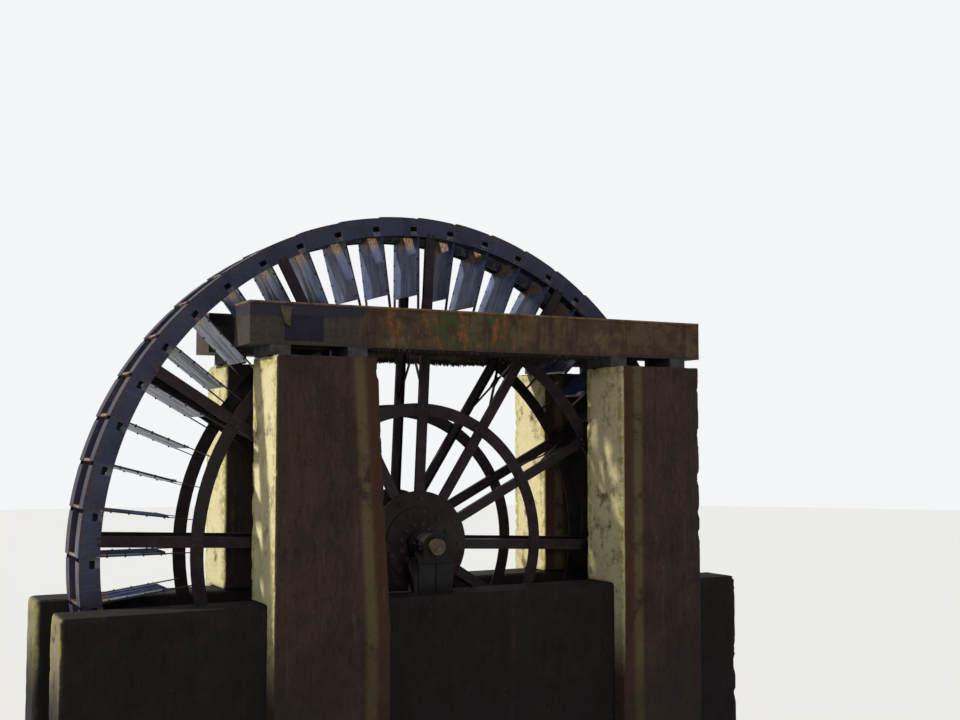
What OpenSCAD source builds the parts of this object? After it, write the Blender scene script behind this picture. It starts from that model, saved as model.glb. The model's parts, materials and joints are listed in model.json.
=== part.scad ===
// Iron water-raising wheel between masonry walls, with a launder on each side.
// Millimetres, +Z up. X runs along the wheel and the launders, Y along the shaft.
// The wheel's middle plane is Y = 0, the shaft stands over X = 0 and Z = 0 is
// the bed of the channel. Angles round the wheel are clockwise from straight up,
// seen from the front (from -Y).

/* [Wheel] */
// Radius over the proud ends of the bucket covers
wheel_r = 4100; // [3000:10:6000]
// Width of the wheel over the rim side plates
wheel_w = 800; // [600:10:1200]
// Number of buckets, blades and outlets round the rim
bucket_count = 48; // [36:12:72]
// Height of the shaft over the channel bed
hub_h = 4250; // [4180:10:6500]
// Thickness of the rim side plates
side_t = 5; // [4:0.5:10]
// Inner radius of the rim side plates, as a share of the wheel radius
rim_share = 0.942; // [0.92:0.001:0.95]
// Height of the step from one bucket cover to the next
cover_step = 30; // [25:1:60]
// Thickness of the bucket soles, dividers and covers
bucket_t = 6; // [4:0.5:10]
// How far the soles stand out from the inner edge of the side plates
sole_in = 43; // [30:1:60]
// Butt gap between neighbouring plates round the rim
butt_gap = 2; // [1:0.5:6]
// Width of each outlet, along the rim
outlet_w = 88; // [50:1:120]
// Height of each outlet
outlet_h = 60; // [40:1:80]
// Outlet centre back from the bucket's leading end
outlet_back = 76; // [60:1:140]
// Outlet's lower edge above the sole
outlet_up = 9; // [5:1:20]

/* [Blades] */
// Inner end of the blades, as a share of the wheel radius
blade_in_share = 0.763; // [0.74:0.001:0.8]
// Outer end of the blades, as a share of the wheel radius
blade_out_share = 0.9; // [0.86:0.001:0.92]
// Thickness of the blades
blade_t = 6; // [4:0.5:12]
// Width of the flat arms that carry the blades
arm_w = 60; // [40:1:80]
// Thickness of the blade arms
arm_t = 8; // [5:0.5:12]

/* [Rings and spokes] */
// Number of spokes on each side
spoke_count = 12; // [12:1:12]
// Angle of the first spoke
spoke_turn = 2.5; // [2.2:0.1:3.5]
// Height of the spoke channels, across the spoke
spoke_w = 124; // [100:1:140]
// Depth of the spoke channels, along the shaft
spoke_d = 55; // [45:1:70]
// Thickness of the channels' webs and flanges
spoke_t = 7; // [5:0.5:10]
// Inner end of the spokes
spoke_in = 280; // [260:5:400]
// Width of the middle and inner rings
ring_w = 156; // [120:1:190]
// Thickness of the middle and inner rings
ring_t = 8; // [6:0.5:14]
// Inner radius of the middle rings
mid_r = 1595; // [1400:5:1800]
// Inner radius of the inner crown rings
crown_r = 2710; // [2550:5:2850]
// Length of the splice plates over the joints of the middle rings
splice_l = 230; // [180:5:280]
// Height of the splice plates
splice_h = 120; // [90:1:140]
// Thickness of the splice plates
splice_t = 8; // [6:0.5:12]
// Inner end of the diagonal braces
brace_in = 1850; // [1800:10:1950]
// Outer end of the diagonal braces
brace_out = 3050; // [2950:10:3200]
// Width of the diagonal braces
brace_w = 52; // [40:1:65]
// Thickness of the diagonal braces
brace_t = 8; // [6:0.5:12]
// Side of the square plate where two braces cross
cross_s = 150; // [120:5:200]
// Thickness of the crossing plate
cross_t = 6; // [4:0.5:10]

/* [Hub and shaft] */
// Radius of the shaft
shaft_r = 100; // [80:1:130]
// Length of the shaft
shaft_l = 1940; // [1900:10:2200]
// Radius of the hub discs
disc_r = 655; // [600:5:750]
// Thickness of the hub discs
disc_t = 18; // [12:1:30]
// Radius of the hub's raised face
boss_r = 450; // [380:5:500]
// Thickness of the hub's raised face
boss_t = 22; // [15:1:30]
// Radius of the hub's collar
collar_r = 175; // [150:5:220]
// Length of the hub's collar
collar_l = 80; // [50:5:100]
// Radial gap between the shaft and the hub parts pressed on it
hub_fit = 0.01; // [0.01:0.005:0.05]

/* [Bearings] */
// Radial running clearance of the shaft in its bearings
run_fit = 0.05; // [0.01:0.01:0.1]
// Distance from the middle plane to a bearing's inner face
bearing_y = 620; // [600:5:660]
// Length of a bearing, along the shaft
bearing_l = 270; // [220:5:300]
// Outer radius of a bearing round the shaft
bearing_r = 158; // [140:1:175]
// Width of a bearing's foot
foot_w = 460; // [400:5:520]
// Thickness of a bearing's foot
foot_t = 55; // [40:1:80]
// Height of the shaft over the underside of a bearing's foot
bearing_h = 210; // [190:1:240]
// Gap between the two blocks under a bearing
block_gap = 12; // [6:1:30]

/* [Walls and piers] */
// Height of the shaft over the top of the channel walls
wall_drop = 550; // [500:5:700]
// Length of the channel walls
wall_l = 8800; // [8600:50:12000]
// Thickness of the channel walls
wall_t = 610; // [500:5:650]
// Distance from the middle plane to the walls, piers and launders
near_y = 540; // [520:5:600]
// Depth of the piers, along the shaft
pier_d = 860; // [760:5:900]
// Width of the piers at the top
pier_w = 1220; // [1000:10:1300]
// How far the inner edge of a left pier slopes out towards its foot
pier_batter = 180; // [100:5:250]
// Height of the piers' tops over the shaft
pier_top = 2245; // [2100:5:2400]
// Outer edge of the left piers from the shaft
left_x = 2200; // [2100:10:2600]
// Inner edge of the right piers from the shaft
right_x = 2400; // [2200:10:2700]
// Depth below the shaft at which the piers' slope ends
bank_drop = 880; // [800:5:1000]

/* [Launders] */
// Height of the launders' sides
launder_h = 490; // [400:5:520]
// Width of the launders, outside
launder_w = 580; // [500:5:620]
// Thickness of the launders' plates
launder_t = 6; // [4:0.5:10]
// Width of the lip along the launders' top edges
lip_w = 45; // [30:1:60]
// Height of the bearers between piers and launders
bearer_h = 125; // [100:5:160]
// Width of the bearers
bearer_w = 240; // [180:5:300]
// How far a bearer stands in from the side of its pier
bearer_in = 20; // [10:5:60]
// How far the launders run past the outer sides of the piers
launder_over = 220; // [150:10:300]

/* [Hidden] */
pitch = 360 / bucket_count;
half_w = wheel_w / 2;
plate_y = half_w - side_t;
rim_in = wheel_r * rim_share;
sole_r = rim_in + sole_in;
cover_low = wheel_r - cover_step;
cover_start = polar(wheel_r - bucket_t, 0);
cover_end = polar(cover_low - bucket_t, pitch);
cover_l = norm(cover_end - cover_start);
outlet_r = sole_r + bucket_t + outlet_up + outlet_h / 2;
blade_in = wheel_r * blade_in_share;
blade_out = wheel_r * blade_out_share;
arm_in = crown_r + ring_w / 2;
arm_out = sole_r - arm_w / 2 * tan(pitch / 2) - 1;
spoke_out = sole_r * cos(pitch / 2) - spoke_w / 2 * tan(pitch / 2) - 1;
spoke_step = 360 / spoke_count;
wall_top = hub_h - wall_drop;
launder_z = hub_h + pier_top + bearer_h;
launder_x0 = -left_x - launder_over;
launder_x1 = right_x + pier_w + launder_over;
block_w = (foot_w - block_gap) / 2;
boss_y = plate_y + disc_t;
collar_y = boss_y + boss_t;
round_fn = 96;

stone = [0.55, 0.47, 0.36];
rust = [0.42, 0.27, 0.18];
dark_iron = [0.26, 0.21, 0.20];
rim_iron = [0.23, 0.24, 0.29];
wet_iron = [0.36, 0.40, 0.46];
bare_iron = [0.45, 0.40, 0.30];

// A point at radius r and angle a of the wheel, as [x, z].
function polar(r, a) = [r * sin(a), r * cos(a)];

// The angle that a length takes up at radius r.
function arc_deg(len, r) = len / r * 180 / PI;

// A point on the underside of a bucket's cover, at a length from its proud end.
function under_cover(run) = cover_start + (cover_end - cover_start) * run / cover_l;

// Extrude an outline drawn in X and Z between two values of Y.
module slab_y(y0, y1) {
    translate([0, y1, 0])
        rotate([90, 0, 0])
            linear_extrude(height = y1 - y0)
                children();
}

// The same slab on the front (-1) or the back (1) of the middle plane.
module on_side(side, y0, y1) {
    if (side < 0)
        slab_y(-y1, -y0) children();
    else
        slab_y(y0, y1) children();
}

// Put the wheel's own parts at the shaft.
module at_hub() {
    translate([0, 0, hub_h])
        children();
}

// A round plate about the shaft, with a hole.
module disc_y(r, bore, side, y0, y1) {
    lo = side < 0 ? -y1 : y0;
    translate([0, lo, 0])
        rotate([-90, 0, 0])
            difference() {
                cylinder(h = y1 - y0, r = r, $fn = round_fn);
                translate([0, 0, -1])
                    cylinder(h = y1 - y0 + 2, r = bore, $fn = round_fn);
            }
}

// A curved bar of a ring, from angle a0 to angle a1.
module ring_bar(r0, side, y0, y1, a0, a1) {
    lo = side < 0 ? -y1 : y0;
    rotate([0, a0, 0])
        rotate([-90, 0, 0])
            rotate([0, 0, -90])
                rotate_extrude(angle = a1 - a0, $fn = round_fn)
                    translate([r0, lo])
                        square([ring_w, y1 - y0]);
}

module channel_wall(side) {
    color(stone)
        on_side(side, near_y, near_y + wall_t)
            translate([-wall_l / 2, 0])
                square([wall_l, wall_top]);
}

module channel_wall_front() channel_wall(-1);
module channel_wall_back() channel_wall(1);

// A pier stands on the channel wall; its outer part runs down in front of it.
module pier(side, outline) {
    color(stone)
        difference() {
            on_side(side, near_y, near_y + pier_d)
                polygon(outline);
            on_side(side, near_y - 1, near_y + wall_t)
                translate([-wall_l / 2, -1])
                    square([wall_l, wall_top + 1]);
        }
}

left_pier = [
    [-left_x, 0],
    [-left_x + pier_w + pier_batter, 0],
    [-left_x + pier_w + pier_batter, hub_h - bank_drop],
    [-left_x + pier_w, hub_h + pier_top],
    [-left_x, hub_h + pier_top]
];

right_pier = [
    [right_x, 0],
    [right_x + pier_w, 0],
    [right_x + pier_w, hub_h + pier_top],
    [right_x, hub_h + pier_top]
];

module pier_front_left() pier(-1, left_pier);
module pier_front_right() pier(-1, right_pier);
module pier_back_left() pier(1, left_pier);
module pier_back_right() pier(1, right_pier);

module launder_bearers(side) {
    color(stone)
        for (x = [-left_x + bearer_in, -left_x + pier_w - bearer_w - bearer_in,
                  right_x + bearer_in, right_x + pier_w - bearer_w - bearer_in])
            on_side(side, near_y, near_y + launder_w)
                translate([x, hub_h + pier_top])
                    square([bearer_w, bearer_h]);
}

module launder_bearers_front() launder_bearers(-1);
module launder_bearers_back() launder_bearers(1);

module launder_floor(side) {
    color(rust)
        on_side(side, near_y + launder_t, near_y + launder_w - launder_t)
            translate([launder_x0 + launder_t, launder_z])
                square([launder_x1 - launder_x0 - 2 * launder_t, launder_t]);
}

module launder_floor_front() launder_floor(-1);
module launder_floor_back() launder_floor(1);

// A launder side: a tall plate with a lip turned in along its top edge.
module launder_side(side, y_wall, y_lip) {
    color(rust) {
        on_side(side, y_wall, y_wall + launder_t)
            translate([launder_x0, launder_z])
                square([launder_x1 - launder_x0, launder_h]);
        on_side(side, y_lip, y_lip + lip_w - launder_t)
            translate([launder_x0 + launder_t, launder_z + launder_h - launder_t])
                square([launder_x1 - launder_x0 - 2 * launder_t, launder_t]);
    }
}

module launder_outer_side(side) {
    y_wall = near_y + launder_w - launder_t;
    launder_side(side, y_wall, y_wall - lip_w + launder_t);
}

module launder_inner_side(side) {
    launder_side(side, near_y, near_y + launder_t);
}

module launder_outer_side_front() launder_outer_side(-1);
module launder_outer_side_back() launder_outer_side(1);
module launder_inner_side_front() launder_inner_side(-1);
module launder_inner_side_back() launder_inner_side(1);

module launder_ends(side) {
    color(rust)
        for (x = [launder_x0, launder_x1 - launder_t])
            on_side(side, near_y + launder_t, near_y + launder_w - launder_t)
                translate([x, launder_z])
                    square([launder_t, launder_h]);
}

module launder_ends_front() launder_ends(-1);
module launder_ends_back() launder_ends(1);

module bearing_blocks(side) {
    color(dark_iron)
        for (x = [-foot_w / 2, block_gap / 2])
            on_side(side, bearing_y - 20, bearing_y + bearing_l + 20)
                translate([x, wall_top])
                    square([block_w, wall_drop - bearing_h]);
}

module bearing_blocks_front() bearing_blocks(-1);
module bearing_blocks_back() bearing_blocks(1);

// A pillow block: a foot, a body that narrows upwards and a round bore.
module bearing(side) {
    lo = side < 0 ? -bearing_y - bearing_l : bearing_y;
    color(dark_iron)
        at_hub()
            difference() {
                union() {
                    on_side(side, bearing_y, bearing_y + bearing_l)
                        polygon([
                            [-foot_w / 2, -bearing_h],
                            [foot_w / 2, -bearing_h],
                            [foot_w / 2, -bearing_h + foot_t],
                            [bearing_r, -bearing_h + foot_t + 30],
                            [bearing_r, 0],
                            [-bearing_r, 0],
                            [-bearing_r, -bearing_h + foot_t + 30],
                            [-foot_w / 2, -bearing_h + foot_t]
                        ]);
                    translate([0, lo, 0])
                        rotate([-90, 0, 0])
                            cylinder(h = bearing_l, r = bearing_r, $fn = round_fn);
                }
                translate([0, lo - 1, 0])
                    rotate([-90, 0, 0])
                        cylinder(h = bearing_l + 2, r = shaft_r + run_fit, $fn = round_fn);
            }
}

module bearing_front() bearing(-1);
module bearing_back() bearing(1);

module shaft() {
    color(bare_iron)
        at_hub()
            translate([0, -shaft_l / 2, 0])
                rotate([-90, 0, 0])
                    cylinder(h = shaft_l, r = shaft_r, $fn = round_fn);
}

module hub_disc(side) {
    color(dark_iron)
        at_hub()
            disc_y(disc_r, shaft_r + hub_fit, side, plate_y, boss_y);
}

module hub_disc_front() hub_disc(-1);
module hub_disc_back() hub_disc(1);

// The raised face of the hub with its collar.
module hub_boss(side) {
    color(dark_iron)
        at_hub()
            difference() {
                union() {
                    disc_y(boss_r, 1, side, boss_y, collar_y);
                    disc_y(collar_r, 1, side, boss_y, collar_y + collar_l);
                }
                disc_y(shaft_r + hub_fit, 0, side, boss_y - 1, collar_y + collar_l + 1);
            }
}

module hub_boss_front() hub_boss(-1);
module hub_boss_back() hub_boss(1);

// A spoke is a channel with its web outwards, drawn straight up.
module spoke_channel(side) {
    y_out = side * plate_y;
    y_web = side * (plate_y - spoke_t);
    y_in = side * (plate_y - spoke_d);
    a = spoke_w / 2;
    b = a - spoke_t;
    translate([0, 0, spoke_in])
        linear_extrude(height = spoke_out - spoke_in)
            polygon([
                [-a, y_out], [a, y_out], [a, y_in], [b, y_in],
                [b, y_web], [-b, y_web], [-b, y_in], [-a, y_in]
            ]);
}

module spokes(side) {
    color(dark_iron)
        at_hub()
            for (i = [0 : spoke_count - 1])
                rotate([0, spoke_turn + i * spoke_step, 0])
                    spoke_channel(side);
}

module spokes_front() spokes(-1);
module spokes_back() spokes(1);

// A ring of curved bars that meet over the spokes.
module bar_ring(r0, side) {
    half_gap = arc_deg(butt_gap / 2, r0);
    color(dark_iron)
        at_hub()
            for (i = [0 : spoke_count - 1])
                ring_bar(r0, side, plate_y, plate_y + ring_t,
                         spoke_turn + i * spoke_step + half_gap,
                         spoke_turn + (i + 1) * spoke_step - half_gap);
}

module middle_ring_front() bar_ring(mid_r, -1);
module middle_ring_back() bar_ring(mid_r, 1);
module crown_ring_front() bar_ring(crown_r, -1);
module crown_ring_back() bar_ring(crown_r, 1);

module ring_splices(side) {
    color(dark_iron)
        at_hub()
            for (i = [0 : spoke_count - 1])
                rotate([0, spoke_turn + i * spoke_step, 0])
                    on_side(side, plate_y + ring_t, plate_y + ring_t + splice_t)
                        translate([-splice_l / 2, mid_r + (ring_w - splice_h) / 2])
                            square([splice_l, splice_h]);
}

module ring_splices_front() ring_splices(-1);
module ring_splices_back() ring_splices(1);

// One flat brace between the front and the back spoke, cut off at their webs.
module brace(way, x0) {
    web = plate_y - spoke_t;
    run = brace_out - brace_in;
    lean = atan2(2 * web, run);
    length = sqrt(run * run + 4 * web * web) + 2 * brace_w;
    intersection() {
        translate([x0, 0, (brace_in + brace_out) / 2])
            rotate([way * lean, 0, 0])
                translate([0, -brace_w / 2, -length / 2])
                    cube([brace_t, brace_w, length]);
        translate([x0 - 1, -web, 0])
            cube([brace_t + 2, 2 * web, wheel_r]);
    }
}

module spoke_braces() {
    color(dark_iron)
        at_hub()
            for (i = [0 : spoke_count - 1])
                rotate([0, spoke_turn + i * spoke_step, 0]) {
                    brace(1, cross_t / 2);
                    brace(-1, -cross_t / 2 - brace_t);
                }
}

module brace_plates() {
    color(dark_iron)
        at_hub()
            for (i = [0 : spoke_count - 1])
                rotate([0, spoke_turn + i * spoke_step, 0])
                    translate([-cross_t / 2, -cross_s / 2, (brace_in + brace_out - cross_s) / 2])
                        cube([cross_t, cross_s, cross_s]);
}

module blade_arms(side) {
    color(dark_iron)
        at_hub()
            for (i = [0 : bucket_count - 1])
                rotate([0, i * pitch, 0])
                    on_side(side, plate_y - arm_t, plate_y)
                        translate([-arm_w / 2, arm_in])
                            square([arm_w, arm_out - arm_in]);
}

module blade_arms_front() blade_arms(-1);
module blade_arms_back() blade_arms(1);

module blades() {
    color(wet_iron)
        at_hub()
            for (i = [0 : bucket_count - 1])
                rotate([0, i * pitch, 0])
                    translate([-blade_t / 2, -plate_y + arm_t, blade_in])
                        cube([blade_t, 2 * (plate_y - arm_t), blade_out - blade_in]);
}

// The side plate of one bucket, with its outlet near the leading end.
module rim_plate() {
    g = butt_gap / 2;
    difference() {
        polygon([
            polar(rim_in, arc_deg(g, rim_in)),
            under_cover(g),
            under_cover(cover_l - g),
            polar(rim_in, pitch - arc_deg(g, rim_in))
        ]);
        rotate(-pitch)
            translate([-outlet_back - outlet_w / 2, outlet_r - outlet_h / 2])
                square([outlet_w, outlet_h]);
    }
}

module rim_plates(side) {
    color(rim_iron)
        at_hub()
            for (i = [0 : bucket_count - 1])
                rotate([0, i * pitch, 0])
                    on_side(side, plate_y, half_w)
                        rim_plate();
}

module rim_plates_front() rim_plates(-1);
module rim_plates_back() rim_plates(1);

// A flat plate across the wheel, from radius r0 at one divider to r1 at the next.
module rim_strip(r0, r1, gap, y) {
    slab_y(-y, y)
        polygon([
            polar(r0, arc_deg(gap, r0)),
            polar(r0 + bucket_t, arc_deg(gap, r0)),
            polar(r1 + bucket_t, pitch - arc_deg(gap, r1)),
            polar(r1, pitch - arc_deg(gap, r1))
        ]);
}

module bucket_soles() {
    color(rim_iron)
        at_hub()
            for (i = [0 : bucket_count - 1])
                rotate([0, i * pitch, 0])
                    rim_strip(sole_r, sole_r, butt_gap / 2, plate_y);
}

module bucket_dividers() {
    color(rim_iron)
        at_hub()
            for (i = [0 : bucket_count - 1])
                rotate([0, i * pitch, 0])
                    translate([-bucket_t / 2, -plate_y, sole_r + bucket_t])
                        cube([bucket_t, 2 * plate_y, cover_low - sole_r - 2 * bucket_t - butt_gap / 2]);
}

module bucket_covers() {
    color(rim_iron)
        at_hub()
            for (i = [0 : bucket_count - 1])
                rotate([0, i * pitch, 0])
                    rim_strip(wheel_r - bucket_t, cover_low - bucket_t, 0, half_w);
}

channel_wall_front();
channel_wall_back();
pier_front_left();
pier_front_right();
pier_back_left();
pier_back_right();
launder_bearers_front();
launder_bearers_back();
launder_floor_front();
launder_floor_back();
launder_outer_side_front();
launder_outer_side_back();
launder_inner_side_front();
launder_inner_side_back();
launder_ends_front();
launder_ends_back();
bearing_blocks_front();
bearing_blocks_back();
bearing_front();
bearing_back();
shaft();
hub_disc_front();
hub_disc_back();
hub_boss_front();
hub_boss_back();
spokes_front();
spokes_back();
middle_ring_front();
middle_ring_back();
ring_splices_front();
ring_splices_back();
crown_ring_front();
crown_ring_back();
spoke_braces();
brace_plates();
blade_arms_front();
blade_arms_back();
blades();
rim_plates_front();
rim_plates_back();
bucket_soles();
bucket_dividers();
bucket_covers();
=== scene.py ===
# %% [markdown]
# # An iron water-raising wheel
# The wheel is two bucket rings and a ring of blades on two rows of channel spokes. It turns between
# two channel walls, and four piers carry a launder on each side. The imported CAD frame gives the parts
# their places. This lesson adds the finish: the bucket rings' plates, stepped blades, worn masonry,
# rust, wet steel, bolts, rivets and crust.

# %% Load the frame
import json
import math

import bmesh
import bpy
import numpy as np
from mathutils import Matrix, Vector, noise


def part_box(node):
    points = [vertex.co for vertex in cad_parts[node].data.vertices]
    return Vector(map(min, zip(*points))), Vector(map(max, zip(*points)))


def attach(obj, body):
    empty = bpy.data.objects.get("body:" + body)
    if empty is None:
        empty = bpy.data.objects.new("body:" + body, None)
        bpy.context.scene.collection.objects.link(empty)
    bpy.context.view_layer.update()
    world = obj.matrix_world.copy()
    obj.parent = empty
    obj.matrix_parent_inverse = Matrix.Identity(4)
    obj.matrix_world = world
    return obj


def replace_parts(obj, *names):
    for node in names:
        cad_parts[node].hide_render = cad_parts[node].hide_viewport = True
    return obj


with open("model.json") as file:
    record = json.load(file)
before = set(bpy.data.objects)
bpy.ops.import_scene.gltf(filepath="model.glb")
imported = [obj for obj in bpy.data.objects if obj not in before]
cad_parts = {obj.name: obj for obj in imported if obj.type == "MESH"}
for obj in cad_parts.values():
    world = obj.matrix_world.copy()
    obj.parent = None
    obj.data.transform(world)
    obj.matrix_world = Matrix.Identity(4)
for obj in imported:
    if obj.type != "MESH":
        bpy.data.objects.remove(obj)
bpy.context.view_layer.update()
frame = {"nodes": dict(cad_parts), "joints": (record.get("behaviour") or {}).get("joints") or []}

# %% [markdown]
# ## The measures that everything hangs on
# A wheelwright works from the shaft's centre, so the shaft's height and the radii come first. They
# could be typed in, but reading them from the frame's boxes keeps the dressing right when the frame
# changes. Angles run clockwise from straight up, as seen from the front.

# %% Measures from the frame
SHAFT_Z = frame["joints"][0]["pos_m"][2]
WHEEL_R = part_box("bucket_covers")[1][2] - SHAFT_Z
BUCKETS = 48
SPOKES = 12
PITCH = 360 / BUCKETS
SPOKE_TURN = 2.5
RIM_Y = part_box("rim_plates_back")[1][1]
PLATE_IN_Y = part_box("rim_plates_back")[0][1]
RING_IN_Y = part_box("bucket_covers")[1][1] - 0.210
RING_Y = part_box("middle_ring_back")[1][1]
SPLICE_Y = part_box("ring_splices_back")[1][1]
DISC_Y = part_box("hub_disc_back")[1][1]
BOSS_Y = DISC_Y + 0.022
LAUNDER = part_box("launder_floor_front")
LAUNDER_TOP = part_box("launder_outer_side_front")[1][2]
WALL_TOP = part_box("channel_wall_front")[1][2]
SIDES = {"front": -1, "back": 1}
print("shaft at", round(SHAFT_Z, 3), "wheel radius", round(WHEEL_R, 3), "rim side at", round(RIM_Y, 3))


def on_wheel(angle, radius, y):
    """A point of the wheel at an angle in degrees, a radius and a distance along the shaft."""
    a = math.radians(angle)
    return Vector((radius * math.sin(a), y, SHAFT_Z + radius * math.cos(a)))


# %% [markdown]
# ## The eye
# The picture is taken from the left of the wheel and a little above its shaft. A camera fitted to
# the rim, the rings and the launder gives the place, the direction and the lens. Its width in pixels
# against its focal length in pixels sets the lens in millimetres.

# %% Camera
EYE = Vector((-6.64, -14.56, SHAFT_Z + 1.30))
EYE_TURN = math.radians(27.95)
EYE_RISE = math.radians(3.64)
FOCAL_PX = 1243.9
PICTURE_W = 960

lens = bpy.data.cameras.new("eye")
lens.sensor_width = 36
lens.lens = FOCAL_PX / PICTURE_W * lens.sensor_width
lens.clip_end = 400
eye = bpy.data.objects.new("eye", lens)
bpy.context.scene.collection.objects.link(eye)
gaze = Vector((
    math.sin(EYE_TURN) * math.cos(EYE_RISE),
    math.cos(EYE_TURN) * math.cos(EYE_RISE),
    math.sin(EYE_RISE),
))
eye.matrix_world = Matrix.Translation(EYE) @ gaze.to_track_quat("-Z", "Y").to_matrix().to_4x4()
bpy.context.scene.camera = eye
print("lens", round(lens.lens, 1), "mm")

# %% [markdown]
# ## Light and ground
# A plain studio shows rust and wet steel as they are: an even pale sky, a soft strong light from the
# left and a little behind, which leaves the front faces in shade as in the photograph, and a weak
# fill from the camera's side. Soft suns are chosen over area lamps because the object is eight
# metres tall and has to be lit alike from foot to rim. The floor is pale to the eye, but throws back
# only as much light as earth does, or the faces in shade would look grey.

# %% Light and floor
SKY = (0.86, 0.88, 0.92, 1)
SKY_POWER = 0.42
SKY_SEEN = (0.90, 0.92, 0.94, 1)
FLOOR_SEEN = (0.74, 0.75, 0.76, 1)
FLOOR_EARTH = (0.24, 0.22, 0.19, 1)
FLOOR_R = 90

world = bpy.data.worlds.new("studio")
world.use_nodes = True
sky_tree = world.node_tree
sky_out = sky_tree.nodes["World Output"]
ambient = sky_tree.nodes["Background"]
ambient.inputs["Color"].default_value = SKY
ambient.inputs["Strength"].default_value = SKY_POWER
seen = sky_tree.nodes.new("ShaderNodeBackground")
seen.inputs["Color"].default_value = SKY_SEEN
ray = sky_tree.nodes.new("ShaderNodeLightPath")
pick = sky_tree.nodes.new("ShaderNodeMixShader")
sky_tree.links.new(ray.outputs["Is Camera Ray"], pick.inputs[0])
sky_tree.links.new(ambient.outputs[0], pick.inputs[1])
sky_tree.links.new(seen.outputs[0], pick.inputs[2])
sky_tree.links.new(pick.outputs[0], sky_out.inputs["Surface"])
bpy.context.scene.world = world


def soft_sun(name, towards, power, spread, colour):
    """A sun lamp that shines from the given direction, with a spread in degrees."""
    lamp = bpy.data.lights.new(name, "SUN")
    lamp.energy = power
    lamp.angle = math.radians(spread)
    lamp.color = colour
    sun = bpy.data.objects.new(name, lamp)
    bpy.context.scene.collection.objects.link(sun)
    sun.rotation_euler = Vector(towards).to_track_quat("Z", "Y").to_euler()


soft_sun("key", towards=(-0.73, 0.38, 0.57), power=3.6, spread=3, colour=(1.0, 0.95, 0.84))
soft_sun("fill", towards=(-0.30, -1.0, 0.45), power=0.50, spread=40, colour=(1.0, 0.99, 0.97))
soft_sun("rear_fill", towards=(0.6, 1.0, 0.6), power=0.40, spread=50, colour=(0.95, 0.97, 1.0))

floor_mesh = bpy.data.meshes.new("floor")
floor_form = bmesh.new()
bmesh.ops.create_circle(floor_form, cap_ends=True, segments=96, radius=FLOOR_R)
floor_form.to_mesh(floor_mesh)
floor_form.free()
floor = bpy.data.objects.new("floor", floor_mesh)
bpy.context.scene.collection.objects.link(floor)
floor_paint = bpy.data.materials.new("pale_floor")
floor_paint.use_nodes = True
floor_tree = floor_paint.node_tree
pale = floor_tree.nodes["Principled BSDF"]
pale.inputs["Base Color"].default_value = FLOOR_SEEN
pale.inputs["Roughness"].default_value = 0.9
earth = floor_tree.nodes.new("ShaderNodeBsdfDiffuse")
earth.inputs["Color"].default_value = FLOOR_EARTH
floor_ray = floor_tree.nodes.new("ShaderNodeLightPath")
seen_ray = floor_tree.nodes.new("ShaderNodeMath")
seen_ray.operation = "MAXIMUM"
floor_pick = floor_tree.nodes.new("ShaderNodeMixShader")
floor_tree.links.new(floor_ray.outputs["Is Camera Ray"], seen_ray.inputs[0])
floor_tree.links.new(floor_ray.outputs["Is Glossy Ray"], seen_ray.inputs[1])
floor_tree.links.new(seen_ray.outputs[0], floor_pick.inputs[0])
floor_tree.links.new(earth.outputs[0], floor_pick.inputs[1])
floor_tree.links.new(pale.outputs[0], floor_pick.inputs[2])
floor_tree.links.new(floor_pick.outputs[0], floor_tree.nodes["Material Output"].inputs["Surface"])
floor_mesh.materials.append(floor_paint)
bpy.context.scene.view_settings.view_transform = "Standard"
print("lamps", len(bpy.data.lights), "and a floor of radius", FLOOR_R, "m")

# %% [markdown]
# ## Tools for finishes
# Every finish here is made of nodes, so it has no edge and no seam. A small shop of helpers adds
# one node each and returns its output: a place on the object, a cloud of noise, a mask between two
# limits, a mix of two colours. They keep each finish below short enough to read as a recipe.

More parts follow.
